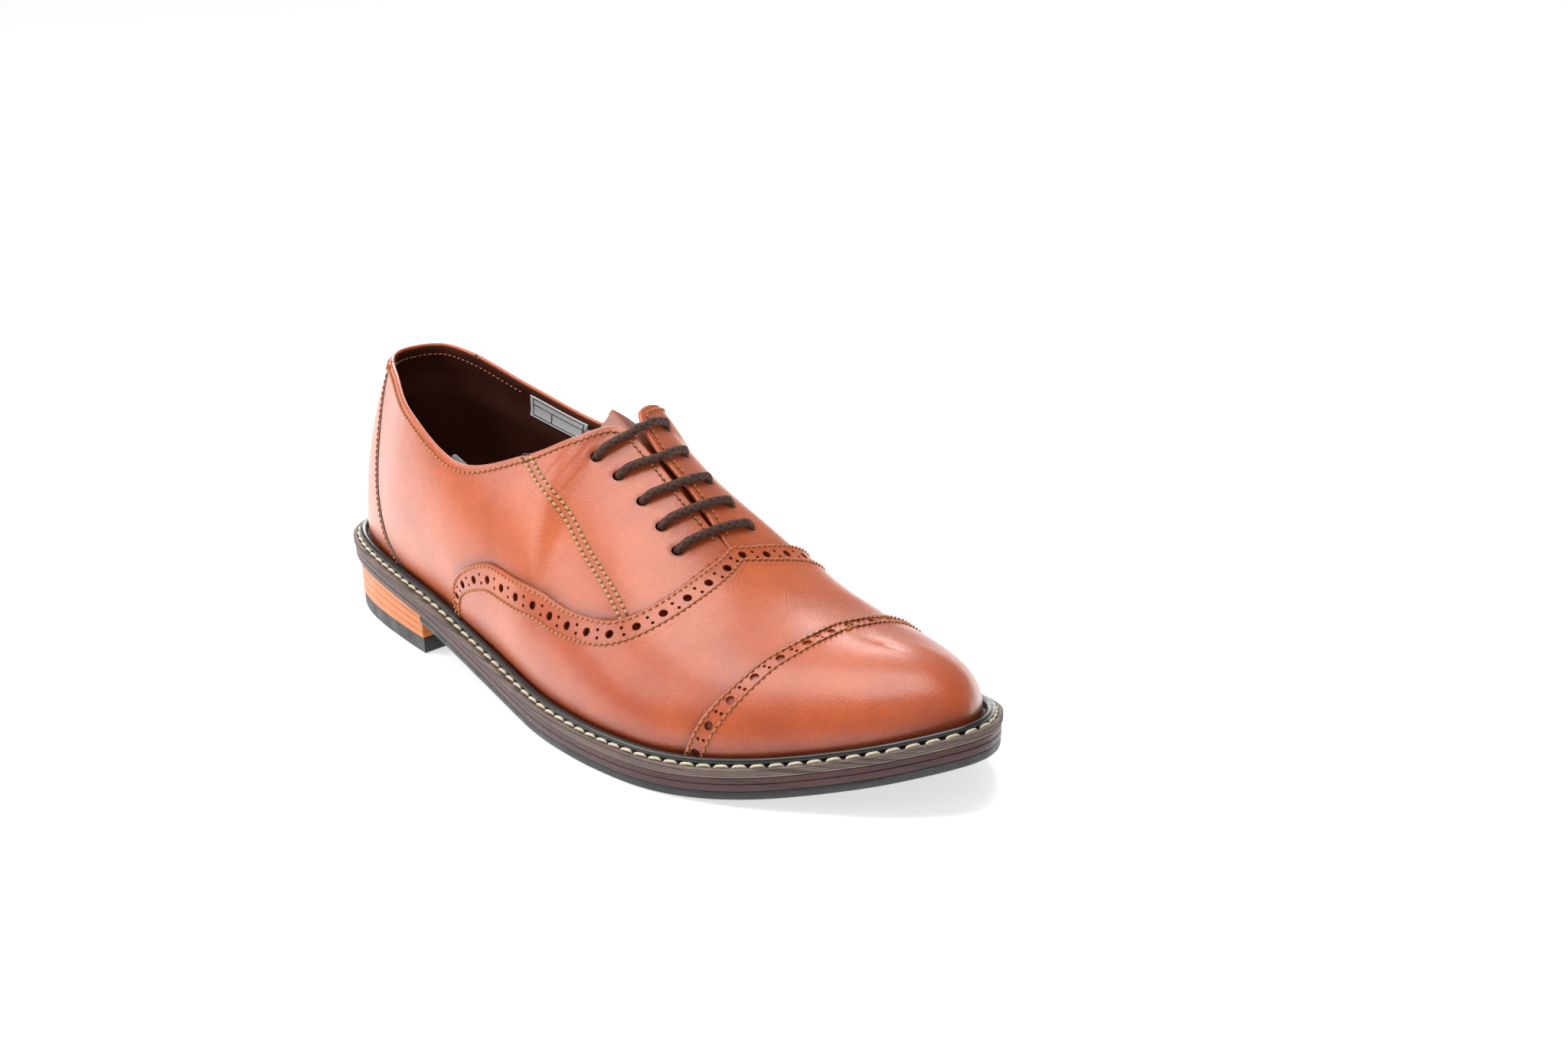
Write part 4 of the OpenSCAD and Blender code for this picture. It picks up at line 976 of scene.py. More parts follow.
quarters = {}
for s, tag in ((1, "lateral"), (2, "medial")):
    U, V, P, Q = quarter_grid(s)
    X = raw(s, U, V)
    # distance from the seam with the back panel, turned down at its edge
    ds = (U - seam(s, np.clip(V, 0, 1)) - 0.036)*ulen(s, np.full_like(U, 3.2), V)
    lift = -0.75*np.clip(1 - ds/0.8, 0, 1)**2
    # the double seam under the lace holes pulls two shallow furrows into the leather
    lift = lift + creases(s, U, V)
    # below the vamp's edge the leather is thinned and drops, so it stays under the band as the facing opens
    under = (V - wing(s, U))*vlen(s, U, np.clip(V, 0, 1))
    drop = np.clip((U - 9.4)/0.6, 0, 1)*np.clip(0.1 - under/1.5, 0, 1)
    lift = lift - 1.9*drop
    for (c, nn) in HOLE_P[s]:
        r = np.linalg.norm(X - c, axis=-1)
        lift = lift - 0.22*np.clip(1 - (r - 2.0)/1.1, 0, 1)**2 + 0.10*np.exp(-((r - 3.6)/0.8)**2)
    A, B = rolled(s, U, V, 0.0, 1.0, lift=lift)
    B[:, :U.shape[1]] += nrm(s, U, V)*(0.75*drop)[..., None]
    pts, f = slab(A, B)
    # darker towards the welt with painted shade beside and under the vamp, then darker along the back seam and round
    # the lace holes
    burn = darkening_and_painted_shade_field(s, U, V, X)
    burn = np.clip(burn + 0.55*np.exp(-ds/1.6), 0, 1)
    for (c, nn) in HOLE_P[s]:
        burn = np.clip(burn + 0.5*np.exp(-np.clip(np.linalg.norm(X - c, axis=-1) - 2.1, 0, 50)/0.8), 0, 1)
    ext = np.concatenate([burn, np.repeat(burn[:, -1:], A.shape[1] - burn.shape[1], 1)], 1)
    ob = make(f"quarter_{tag}_leather", pts, f, M["tan_leather"], "tan_leather", body=None, attrs={"burn": np.concatenate([ext.ravel(), ext.ravel()])})
    cut(ob, [cylinder(c, nn, 2.05, -4, 3, 26) for c, nn in HOLE_P[s]])
    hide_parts(f"quarter_{tag}", f"facing_{tag}")
    quarters[s] = on_side(ob)

# under the throat a strip of the same leather runs on below the vamp
for s, tag in ((1, "lateral"), (2, "medial")):
    u = np.linspace(8.8, 11.9, 40)
    v = np.linspace(0, 1, 30)
    Ug, Vg = np.meshgrid(u, v, indexing="ij")
    top = np.minimum(wing(s, Ug) - 0.01, 0.985)
    Vg = 0.2 + (top - 0.2)*Vg
    A, B = pt(s, Ug, Vg, -1.12 + 0*Ug), pt(s, Ug, Vg, -1.22 + 0*Ug)
    V_, F_ = slab(A, B)
    # the strip is darkened evenly: painted shade under the vamp
    make(f"throat_strip_{tag}", V_, F_, M["tan_leather"], "tan_leather", attrs={"burn": np.full(len(V_), 0.35)})

# ---- back panel, one piece round the heel
m, n = 150, 70
w = np.linspace(-1, 1, m)
e = np.sign(w)*(1 - (1 - np.abs(w))**1.35)
Q = np.linspace(-0.02, 1, n)
Wg, Qg = np.meshgrid(e, Q, indexing="ij")
Ag, Bg, BUg = [], [], []
def panel(side, W_):
    s = side
    q = np.clip(Q, 0, 1)[None, :]
    U = np.abs(W_)[:, None]*(seam(s, q) - 0.031)
    hi = top_v(s, U, ROLL)
    V = np.where(Q[None, :] < 0, Q[None, :], Q[None, :]*hi)
    U = np.abs(W_)[:, None]*(seam(s, np.clip(V, 0, 1)) - 0.031)
    ds = (seam(s, np.clip(V, 0, 1)) - 0.031 - U)*ulen(s, np.full_like(U, 3.0), V)
    return U, V, ds
gA, gB, gb = [], [], []
for s, W_ in ((1, e[e < 0]), (2, e[e >= 0])):
    U, V, ds = panel(s, W_)
    lift = -0.75*np.clip(1 - ds/0.8, 0, 1)**2
    A, B = rolled(s, U, V, 0.0, 1.0, lift=lift)
    b = np.clip(np.clip((0.12 - V)/0.12, 0, 1)**1.5*0.75 + 0.45*np.exp(-ds/1.4), 0, 1)
    gA.append(A); gB.append(B)
    gb.append(np.concatenate([b, np.repeat(b[:, -1:], A.shape[1] - b.shape[1], 1)], 1))
A, B, b = np.concatenate(gA), np.concatenate(gB), np.concatenate(gb)
pts, f = slab(A, B)
ob = make("back_panel_leather", pts, f, M["tan_leather"], "tan_leather", attrs={"burn": np.concatenate([b.ravel(), b.ravel()])})
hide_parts("back_panel")

# dark tube laid in the two seam gaps beside the back panel: painted shade in the gaps
for s, tag in ((1, "lateral"), (2, "medial")):
    q = np.linspace(0.0, 0.985, 90)
    c = Curve(np.full(90, s), seam(s, q), q)
    P_ = c.at(-0.95)
    N_ = c.n()
    V_, F_ = tube(c.at(-0.7), 0.9, 10, N=N_)
    make(f"back_seam_{tag}", V_, F_, M["dark_thread"], "tan_leather")

# small stitched bars over the top of the seams
parts, tabs = [], []
for s in (1, 2):
    c0 = seam(s, 1.0)
    us = np.linspace(-1, 1, 17)
    vs = np.linspace(-1, 1, 17)
    Ug, Vg = np.meshgrid(us, vs, indexing="ij")
    du = 2.3/ulen(s, np.array([float(c0)]), np.array([0.95]))[0]
    dv = 2.6/vlen(s, np.array([float(c0)]), np.array([0.95]))[0]
    rr = (np.abs(Ug)**4 + np.abs(Vg)**4)**0.25
    k = np.where(rr > 1e-6, np.maximum(np.abs(Ug), np.abs(Vg))/np.maximum(rr, 1e-6), 1)
    h = 0.55*np.sqrt(np.clip(1 - (np.maximum(np.abs(Ug), np.abs(Vg)))**6, 0, 1))
    uu, vv = c0 + Ug*k*du, 0.963 + Vg*k*dv*0.62
    vv = np.minimum(vv, 0.999)
    tabs.append(slab(pt(s, uu, vv, 0.12 + h), pt(s, uu, vv, -0.35 + 0*h)))
    for off in (-1.35, -0.45, 0.45, 1.35):
        t = np.linspace(-1, 1, 8)
        cc = Curve(np.full(8, s), np.full(8, c0 + off/2.3*du), 0.963 + t*dv*0.42)
        P_ = cc.at(0.62)
        parts.append(stitch_mesh(P_[1::2], unit(np.gradient(P_, axis=0))[1::2], cc.n()[1::2], 1.2, 0.42, 0.4, 0.5))
V_, F_ = join(tabs)
ob = make("back_seam_bars", V_, F_, M["tan_leather"], "tan_leather", attrs={"burn": np.full(len(V_), 0.35)})
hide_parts("back_tabs")
V_, F_ = join(parts)
make("back_seam_bar_stitches", V_, F_, M["gold_thread"], "welt_thread")

# ---- vamp: body of the panel, and its decorated band along the rear edge
wc = wing_curve().even(0.7)
WL = wc.length()[-1]
VAMP_D = 1.35

def band_width(L):
    L = np.minimum(L, WL - L)
    return np.interp(L, [0, 4, 14, 24, 37, 50, 68, 86, 111, 150, 160], [2.6, 3.2, 5.5, 7.2, 8.9, 9.5, 9.4, 8.7, 8.6, 9.0, 9.2])

def strip_grid(curve, deltas, ds, scale=None):
    """grid of points at distances deltas from the curve with heights ds"""
    cols, us = [], []
    for dl, d in zip(deltas, ds):
        c = settle(curve.shift(-dl if scale is None else -dl*scale), 3 + 1.3*dl)
        cols.append(c.at(d))
        us.append((c.s, c.u, c.v))
    return np.stack(cols, 1), us

def circle_d(lo, hi, r, x):
    """height of a rounded edge of radius r at distance x in from it"""
    x = np.clip(x/r, 0, 1)
    return lo + (hi - lo)*np.sqrt(np.clip(1 - (1 - x)**2, 0, 1))

xs = np.array([0.0, 0.03, 0.12, 0.28, 0.5, 0.8, 1.2, 1.8, 2.5, 3.3, 4.1, 4.9, 5.7, 6.5, 7.3, 8.1, 8.9, 9.7, 10.5, 11.3, 12.2])
hs = [circle_d(0.45, VAMP_D + 0.12, 0.75, x) - (0.0 if x < 1.4 else 0.12*(min(1, (x - 1.4)/2))) for x in xs]
A, info = strip_grid(wc, xs, hs)
B, _ = strip_grid(wc, xs, [0.32 + 0.05*min(1, x) for x in xs])
sb = np.stack([i[0] for i in info], 1); ub = np.stack([i[1] for i in info], 1); vb = np.stack([i[2] for i in info], 1)
# the strip's heights clipped at the feather line; the result is not used
low_ = np.clip(vb, -0.06, 1)
pts, f = slab(A, B)
bb = np.clip(np.clip((0.14 - vb)/0.14, 0, 1)**1.5*0.7 + 0.35*np.exp(-xs[None, :]/0.9), 0, 1)
holes, centres = [], []

def hole_row(curve, mid, inner, outer, pitch, d, depth, first=0.5, soft=False):
    """cutters for a row of large holes along the curve, with a slanted pair of small ones between them"""
    m_ = settle(curve.shift(-mid), 8) if soft else curve.shift(-mid)
    P_, N_ = m_.at(d), m_.n()
    T_ = unit(np.gradient(P_, axis=0))
    L = np.concatenate([[0], np.cumsum(np.linalg.norm(np.diff(P_, axis=0), axis=-1))])
    n = int(L[-1]/pitch)
    at = (np.arange(n) + first)*L[-1]/n
    idx = np.arange(len(L))
    g = lambda X_, q: np.stack([np.interp(q, idx, X_[:, j]) for j in range(3)], -1)
    out = []
    q = np.interp(at, L, idx)
    for p_, n_, t_ in zip(g(P_, q), unit(g(N_, q)), unit(g(T_, q))):
        out.append((cylinder(p_, n_, 1.5, -depth, 2, 24, X=t_), p_, 1.5))
    for off, dl in ((inner, -0.35), (outer, 0.35)):
        o_ = settle(curve.shift(-off), 8) if soft else curve.shift(-off)
        P2, N2 = o_.at(d), o_.n()
        T2 = unit(np.gradient(P2, axis=0))
        q = np.interp(at[:-1] + 0.5*L[-1]/n + dl, L, idx)
        for p_, n_, t_ in zip(g(P2, q), unit(g(N2, q)), unit(g(T2, q))):
            out.append((cylinder(p_, n_, 0.6, -depth, 2, 14, X=t_), p_, 0.6))
    return out

wid = band_width(wc.length())
made = hole_row(wc, 0.5*(1.3 + wid) + 0.15, 1.3 + (wid - 1.3)*0.33, 1.3 + (wid - 1.3)*0.70, 9.4, VAMP_D, 1.25, 0.5, True)
vamp_cut = [m_[0] for m_ in made]
centres = [(m_[1], m_[2]) for m_ in made]
C_ = np.array([c for c, r in centres]); R_ = np.array([r for c, r in centres])
flat = A.reshape(-1, 3)
dmin = np.full(len(flat), 9.0)
for c, r in centres:
    dmin = np.minimum(dmin, np.linalg.norm(flat - c, axis=-1) - r)
bb = np.clip(bb.ravel() + 0.30*np.exp(-np.clip(dmin, 0, 9)/0.5), 0, 1)
band = make("vamp_band", pts, f, M["tan_leather"], "tan_leather", attrs={"burn": np.concatenate([bb, bb])})
cut(band, vamp_cut)

# main area of the vamp in front of the band
um = np.concatenate([np.linspace(5.12, 11.0, 110)[:-1], np.linspace(11.0, 18, 150)])
nv = 60
def vamp_rows(d, trim):
    rows = []
    for u in um:
        row = []
        for s in (1, 2):
            top = float(wing(s, np.array([u]))[0]) if u < 11 else 1.0
            if u < 11.0:
                top = max(top - trim/ float(vlen(s, np.array([u]), np.array([max(top - 0.1, 0.05)]))[0]), -0.02)
            row.append((s, np.linspace(-0.02, top, nv)))
        rows.append(row)
    S = np.array([[s]*nv for row in rows for s, _ in row]).reshape(len(um), 2*nv)
    Vv = np.array([np.concatenate([row[0][1], row[1][1][::-1]]) for row in rows])
    Uu = np.repeat(um[:, None], 2*nv, 1)
    return S, Uu, Vv
S, Uu, Vv = vamp_rows(VAMP_D, 2.2)
dd = VAMP_D - 0.03 + 0*Uu
A = pt(S, Uu, Vv, dd)
B = pt(S, Uu, Vv, dd - 0.9)
ease = np.clip((um - 11.3)/0.7, 0, 1)
A2, B2 = soften(A, nv, 5, ease), soften(B, nv, 5, ease)
for G, G2 in ((A, A2), (B, B2)):
    c_ = 0.5*(G2[:, nv - 1] + G2[:, nv])
    fwd = um >= 11
    G2[fwd, nv - 1] = c_[fwd]
    G2[fwd, nv] = c_[fwd]
A, B = A2, B2
nrow, ncol = A.shape[:2]
pts = np.concatenate([A.reshape(-1, 3), B.reshape(-1, 3)])
o = nrow*ncol
f = []
for i in range(nrow - 1):
    for j in range(ncol - 1):
        if j == nv - 1 and um[i] < 10.999:
            a, b2, c2, d2 = i*ncol + j, (i+1)*ncol + j, (i+1)*ncol + j + 1, i*ncol + j + 1
            f.append([a, b2, o + b2, o + a]); f.append([d2, c2, o + c2, o + d2][::-1])
            continue
        q = [i*ncol + j, (i+1)*ncol + j, (i+1)*ncol + j + 1, i*ncol + j + 1]
        f.append(q); f.append([o + a for a in q[::-1]])
for i in range(nrow - 1):
    for j in (0, ncol - 1):
        a, b2 = i*ncol + j, (i+1)*ncol + j
        f.append([a, b2, o + b2, o + a])
for j in range(ncol - 1):
    if j != nv - 1:
        f.append([j, j + 1, o + j + 1, o + j])
burn = np.clip(np.clip((0.16 - Vv)/0.16, 0, 1)**1.5*0.7, 0, 1)
# painted shade on the vamp just behind the toe cap's edge and under the cap, which shows through the cap's holes
capd = (herm(CAP, np.clip(Vv, 0, 1)) - Uu)*ulen(S, Uu, Vv)
burn = np.clip(burn + 0.6*np.exp(-np.clip(capd, 0, 99)/2.0) + np.where(capd < 0, 0.55, 0), 0, 1).ravel()
P2_, f2, first = weld(pts, f, 1e-3)
vamp = make("vamp_leather", P2_, f2, M["tan_leather"], "tan_leather", attrs={"burn": np.concatenate([burn, burn])[first]})
cut(vamp, vamp_cut)
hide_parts("vamp")

# ---- toe cap
cc = cap_curve()
CAPD = 2.65
pr = np.concatenate([np.array([0, 0.0015, 0.005, 0.011, 0.02, 0.03, 0.045, 0.06]), np.linspace(0.08, 1, 90)])
nv = 70
wv = np.linspace(-0.02, 1, nv)
rowsA, rowsB, bl = [], [], []
CS = np.concatenate([np.full(nv, 1), np.full(nv, 2)])
CV = np.concatenate([wv, wv[::-1]])
u0 = herm(CAP, np.clip(CV, 0, 1))
for p in pr:
    U_ = u0*(1 - p) + K*p
    x = (U_ - u0)*ulen(CS, np.minimum(u0 + 0.2, K), np.clip(CV, 0, 1))
    h = circle_d(1.85, CAPD, 0.75, x) if np.ndim(x) == 0 else 1.85 + (CAPD - 1.85)*np.sqrt(np.clip(1 - (1 - np.clip(x/0.75, 0, 1))**2, 0, 1))
    rowsA.append(pt(CS, U_, CV, h))
    rowsB.append(pt(CS, U_, CV, np.full(len(CS), 1.66)))
    bl.append(np.clip(np.clip((0.16 - CV)/0.16, 0, 1)**1.5*0.75 + 0.4*np.exp(-x/0.8), 0, 1))
A, B, bl = np.stack(rowsA), np.stack(rowsB), np.stack(bl)
A, B = soften(A, nv, 6), soften(B, nv, 6)
pts, f = slab(A, B)
ccE = cc.even(0.6)
CL = ccE.length()[-1]
def cap_at(L, delta):
    lens = ccE.length()
    # distance measured forward of the cap's rear edge
    sh = ccE.shift(-delta)
    P_, N_ = sh.at(CAPD), sh.n()
    t = unit(np.gradient(P_, axis=0))
    g = lambda X_: np.stack([np.interp(L, lens, X_[:, j]) for j in range(3)], -1)
    return g(P_), unit(g(N_)), unit(g(t))
made = hole_row(ccE, np.full(len(ccE.u), 3.6), np.full(len(ccE.u), 2.75), np.full(len(ccE.u), 4.5), 9.8, CAPD, 0.95, 0.6)
turn = ccE.shift(-3.6).at(CAPD)[np.argmax(ccE.shift(-3.6).s == 2)]
made = [m_ for m_ in made if np.linalg.norm(m_[1] - turn) > 4.5 or m_[2] > 1 and np.linalg.norm(m_[1] - turn) > 3.0]
cap_cut = [m_[0] for m_ in made]
centres = [(m_[1], m_[2]) for m_ in made]
flat = A.reshape(-1, 3)
dmin = np.full(len(flat), 9.0)
for c, r in centres:
    dmin = np.minimum(dmin, np.linalg.norm(flat - c, axis=-1) - r)
bl = np.clip(bl.ravel() + 0.30*np.exp(-np.clip(dmin, 0, 9)/0.5), 0, 1)
P2_, f2, first = weld(pts, f, 1e-3)
cap = make("toe_cap_leather", P2_, f2, M["tan_leather"], "tan_leather", attrs={"burn": np.concatenate([bl, bl])[first]})
cut(cap, cap_cut)
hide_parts("toe_cap")
# ---------------------------------------------------------------- linings
for s, tag in ((1, "lateral"), (2, "medial")):
    m, n = 200, 60
    u = np.concatenate([np.linspace(0, 6.0, 110), np.linspace(6.0, 10.9, 91)[1:]])
    q = np.linspace(0, 1, n)
    Ug, Qg = np.meshgrid(u, q, indexing="ij")
    hi = 1 - 1.1/np.maximum(vlen(s, Ug, np.full_like(Ug, 0.97)), 5)
    lo = np.where(Ug > 9.3, np.interp(Ug, [9.3, 10.0, 10.4, 10.7, 10.9], [0, wing_at(s, 10.0) - 0.06, wing_at(s, 10.4) - 0.05, wing_at(s, 10.7) - 0.04, wing_at(s, 10.9) - 0.02]), -0.01)
    lo = np.minimum(lo, hi - 0.01)
    Vg = lo + (hi - lo)*Qg
    dl = lin_d(Ug, Vg)
    soft = 0.10*np.sin(Ug*5.1 + 3*Vg) * (1 - Vg)
    top = np.clip((Qg - 0.985)/0.015, 0, 1)
    A = pt(s, Ug, Vg, dl - 0.15 + soft*0)
    B = pt(s, Ug, Vg, dl - 0.95 + soft*0.6 + 0.35*top)
    pts, f = slab(A, B)
    ob = make(f"quarter_lining_{tag}", pts, f, M["lining_leather"], "lining_leather", body=None)
    cut(ob, [cylinder(c, nn, 2.05, -5, 3, 22) for c, nn in HOLE_P[s]])
    if s == 1:
        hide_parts("quarter_lining", "facing_lining_lateral")
    else:
        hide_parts("facing_lining_medial")
    on_side(ob)

# lining of the forepart
u = np.concatenate([np.linspace(10.95, 18, 120)])
nv = 40
CS = np.concatenate([np.full(nv, 1), np.full(nv, 2)])
CV = np.concatenate([np.linspace(0, 1, nv), np.linspace(0, 1, nv)[::-1]])
Ug = np.repeat(u[:, None], 2*nv, 1); Sg = np.repeat(CS[None], len(u), 0); Vg = np.repeat(CV[None], len(u), 0)
A, B = pt(Sg, Ug, Vg, lin_d(Ug, Vg)), pt(Sg, Ug, Vg, lin_d(Ug, Vg) - 0.9)
pts, f = slab(A, B)
P2_, f2, first = weld(pts, f, 1e-3)
ob = make("vamp_lining_sheet", P2_, f2, M["lining_leather"], "lining_leather")
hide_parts("vamp_lining")

# ---- tongue
def tongue_row(u, d, tv):
    S = np.concatenate([np.full(len(tv), 1), np.full(len(tv), 2)])
    V = np.concatenate([tv, tv[::-1]])
    return pt(S, np.full(len(S), float(u)), V, d)
def tongue_grid(d, pad=0.0):
    tv = np.linspace(0.77, 1, 26)
    rows = [tongue_row(u, d, tv) for u in np.linspace(10.8, 8.8, 40)]
    r0 = rows[-1]
    c = 0.5*(r0[25] + r0[26])
    for k in np.linspace(0, 19, 30)[1:]:
        fx = (1 - 0.1*smooth(0, 5, k))*math.sqrt(1 - (max(k - 7, 0)/12.8)**2)
        p = np.stack([c[0] + (r0[:, 0] - c[0])*fx, c[1] + (r0[:, 1] - c[1])*(1 - 0.02*k), c[2] + (r0[:, 2] - c[2])*(1 - 0.02*k)], -1)
        rows.append(p + k*np.array([-0.83, 0, 0.5]))
    return np.stack(rows)
A, B = tongue_grid(-3.6), tongue_grid(-5.2)
pts, f = slab(A, B)
ob = make("tongue_leather", pts, f, M["tan_leather"], "tan_leather", body="tongue_flap", attrs={"burn": np.full(len(pts), 0.6)})
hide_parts("tongue")
A, B = tongue_grid(-5.6), tongue_grid(-6.3)
pts, f = slab(A, B)
ob = make("tongue_lining_sheet", pts, f, M["lining_leather"], "lining_leather", body="tongue_flap")
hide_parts("tongue_lining")

# ---------------------------------------------------------------- seams and stitches
def uv_curve(s, T, n=200):
    q = crom(np.array(T, float), n)
    return Curve(np.full(n, s), q[:, 0], np.clip(q[:, 1], 0, 1))

def groove(curve, d=-0.20, r=0.32, step=1.2):
    """a dark tube along the furrow a stitch row lies in: painted shade in the furrow and its needle holes"""
    c = curve.even(step)
    return tube(c.at(d), r, 6, N=c.n())

def margin_curve(s, u0, u1, m, n=300):
    u = np.linspace(u0, u1, n)
    return Curve(np.full(n, s), u, top_v(s, u, m))

# row round the collar, the tab and down the gap, on each quarter
for s, tag in ((1, "lateral"), (2, "medial")):
    c = margin_curve(s, float(seam(s, 1.0)) + 0.09, 10.7, 2.9, 500)
    V_, F_ = stitch_row(c, 0.12, 2.3, 1.75, 0.85, 0.7)
    on_side(make(f"edge_stitches_{tag}", V_, F_, M["gold_thread"], "welt_thread", body=None))
    V_, F_ = groove(c)
    on_side(make(f"edge_stitch_groove_{tag}", V_, F_, M["dark_thread"], "tan_leather", body=None))
    # the two rows of the closing seam between vamp wing and facing
    T = DOUBLE_OUT if s == 1 else DOUBLE_IN
    rows, channel = [], []
    base = uv_curve(s, T)
    L = base.length()[-1]
    for off in (-1.25, 1.25):
        cc_ = base.shift(off)
        rows.append(stitch_row(cc_, 0.14, 2.5, 2.25, 1.0, 0.8, 0.2, 3.2, L - 1.0))
        channel.append(groove(cc_, -0.12, 0.42))
    V_, F_ = join(rows)
    on_side(make(f"closing_stitches_{tag}", V_, F_, M["pale_thread"], "welt_thread", body=None))
    V_, F_ = join(channel)
    on_side(make(f"closing_stitch_grooves_{tag}", V_, F_, M["dark_thread"], "tan_leather", body=None))
    # row inside the collar
    c = margin_curve(s, 0.0, 6.3, 4.0, 300)
    d = lin_d(c.u, c.v) - 1.0
    total = c.length()[-1]
    n = int(total/2.4)
    e = c.even(1, 1, total - 1, n=n)
    P_ = pt(e.s, e.u, e.v, lin_d(e.u, e.v) - 1.0)
    T_ = unit(np.gradient(P_, axis=0))
    ok = ~((e.s == 2) & (e.u > 3.9) & (e.u < 4.85))
    V_, F_ = stitch_mesh(P_[ok], T_[ok], -e.n()[ok], 1.7, 0.5, 0.45, 0.1)
    on_side(make(f"collar_inside_stitches_{tag}", V_, F_, M["gold_thread"], "welt_thread", body=None))

# row round the back panel's collar
c0 = 1.0
u = np.linspace(0, 1, 150)
L_ = margin_curve(1, float(seam(1, 1.0)) - 0.09, 0.0, 2.9, 120)
R_c = margin_curve(2, 0.0, float(seam(2, 1.0)) - 0.09, 2.9, 120)
cb = Curve(np.concatenate([L_.s, R_c.s[1:]]), np.concatenate([L_.u, R_c.u[1:]]), np.concatenate([L_.v, R_c.v[1:]]))
rows = [stitch_row(cb, 0.12, 2.3, 1.75, 0.85, 0.7)]
channel = [groove(cb)]
for s in (1, 2):
    q = np.linspace(0.04, 0.93, 120)
    cs = Curve(np.full(120, s), seam(s, q) - 0.031, q).shift(1.5 if s == 1 else -1.5)
    rows.append(stitch_row(cs, 0.08, 2.2, 1.7, 0.6, 0.5))
    channel.append(groove(cs))
V_, F_ = join(channel)
make("back_panel_stitch_grooves", V_, F_, M["dark_thread"], "tan_leather")
V_, F_ = join(rows)
make("back_collar_stitches", V_, F_, M["gold_thread"], "welt_thread")

# band rows on the vamp and the cap
lw = wc.length()
rows, channel = [], []
wid = band_width(lw)
for dl, lo_, hi_ in ((np.full(len(lw), 1.3), 2.0, WL - 2.0), (wid, 3.0, WL - 3.0)):
    cc_ = settle(wc.shift(-dl), 3 + 1.3*float(dl.max()))
    keep = (cc_.v > 0.012)
    k0, k1 = np.argmax(keep), len(keep) - np.argmax(keep[::-1])
    cc_ = Curve(cc_.s[k0:k1], cc_.u[k0:k1], cc_.v[k0:k1])
    rows.append(stitch_row(cc_, VAMP_D + 0.12, 2.3, 1.75, 0.82, 0.7))
    channel.append(groove(cc_, VAMP_D - 0.20))
V_, F_ = join(rows)
make("vamp_band_stitches", V_, F_, M["gold_thread"], "welt_thread")
V_, F_ = join(channel)
make("vamp_band_grooves", V_, F_, M["dark_thread"], "tan_leather")
rows, channel = [], []
for dl in (1.2, 6.0):
    cc_ = ccE.shift(-dl)
    keep = (cc_.v > 0.015)
    k0, k1 = np.argmax(keep), len(keep) - np.argmax(keep[::-1])
    cc_ = Curve(cc_.s[k0:k1], cc_.u[k0:k1], cc_.v[k0:k1])
    rows.append(stitch_row(cc_, CAPD + 0.12, 2.3, 1.75, 0.82, 0.7))
    channel.append(groove(cc_, CAPD - 0.20))
V_, F_ = join(rows)
make("toe_cap_stitches", V_, F_, M["gold_thread"], "welt_thread")
V_, F_ = join(channel)
make("toe_cap_grooves", V_, F_, M["dark_thread"], "tan_leather")

# ---------------------------------------------------------------- lacing
CROSS = [0.62, 0.56, 0.38, 0.32, 0.30]

def lace_path(s, k):
    h = HOLES[k]
    a_, v_ = np.array([h[0]]), np.array([h[s]])
    p, n_ = pt(s, a_, v_, 0.0)[0], nrm(s, a_, v_)[0]
    r = 1.62
    b_ = a_ + CROSS[k]
    one = np.array([1.0])
    c = 0.5*(pt(s, b_, one, 0.0)[0] + pt(3 - s, b_, one, 0.0)[0])
    e = unit(c - p)
    fy = np.array([0, 1.0 if s == 1 else -1.0, 0])
    top = unit(np.cross([0, 1.0, 0], pt(1, b_ - 0.2, one, 0.0)[0] - pt(1, b_ + 0.2, one, 0.0)[0]))
    pts_ = [p - n_*4.2 + e*0.2, p - n_*1.8 + e*0.3, p + n_*0.2 + e*0.6, p + n_*(r - 0.75) + e*1.5]
    for w in (0.25, 0.45, 0.65, 0.83):
        g = pt(s, a_ + CROSS[k]*w, v_*(1 - w) + w, r + 0.25*math.sin(math.pi*w))[0]
        pts_.append(g)
    pts_ += [c + top*(r - 0.1) - fy*1.2, c + top*(r - 0.05) + fy*0.05]
    return np.array(pts_)

def braid(path, r, name, mat_, n=28, per_mm=3.2, closed_end=False):
    L = np.linalg.norm(np.diff(path, axis=0), axis=-1).sum()
    m = int(L*per_mm)
    P_ = crom(path, m)
    x = np.linspace(0, L, m)
    def shape(i, a):
        X_ = x[i.ravel()][:, None]
        g = np.maximum(np.cos(4*a + 2*np.pi*X_/3.4), np.cos(4*a - 2*np.pi*X_/3.4))
        return 1 + 0.055*g - 0.02
    V_, F_ = tube(P_, r, n, shape=shape)
    a = np.arange(n)*2*np.pi/n
    X_ = x[:, None]
    g = np.maximum(np.cos(4*a[None] + 2*np.pi*X_/3.4), np.cos(4*a[None] - 2*np.pi*X_/3.4))
    # mask of painted shade, 1 in the grooves between the strands
    at = np.clip((0.25 - g)/0.8, 0, 1).ravel()
    return V_, F_, at, P_

for s, tag in ((1, "lateral"), (2, "medial")):
    VV, FF, AA, o = [], [], [], 0
    for k in range(5):
        V_, F_, at, P_ = braid(lace_path(s, k), 1.47, "l", None)
        VV.append(V_); FF += [[a + o for a in q] for q in F_]; AA.append(at); o += len(V_)
    ob = make(f"lace_bars_{tag}", np.concatenate(VV), FF, M["lace_cord"], "lace_cord", body=None, attrs={"braid": np.concatenate(AA)})
    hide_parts(f"lace_{tag}")
    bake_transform(ob)

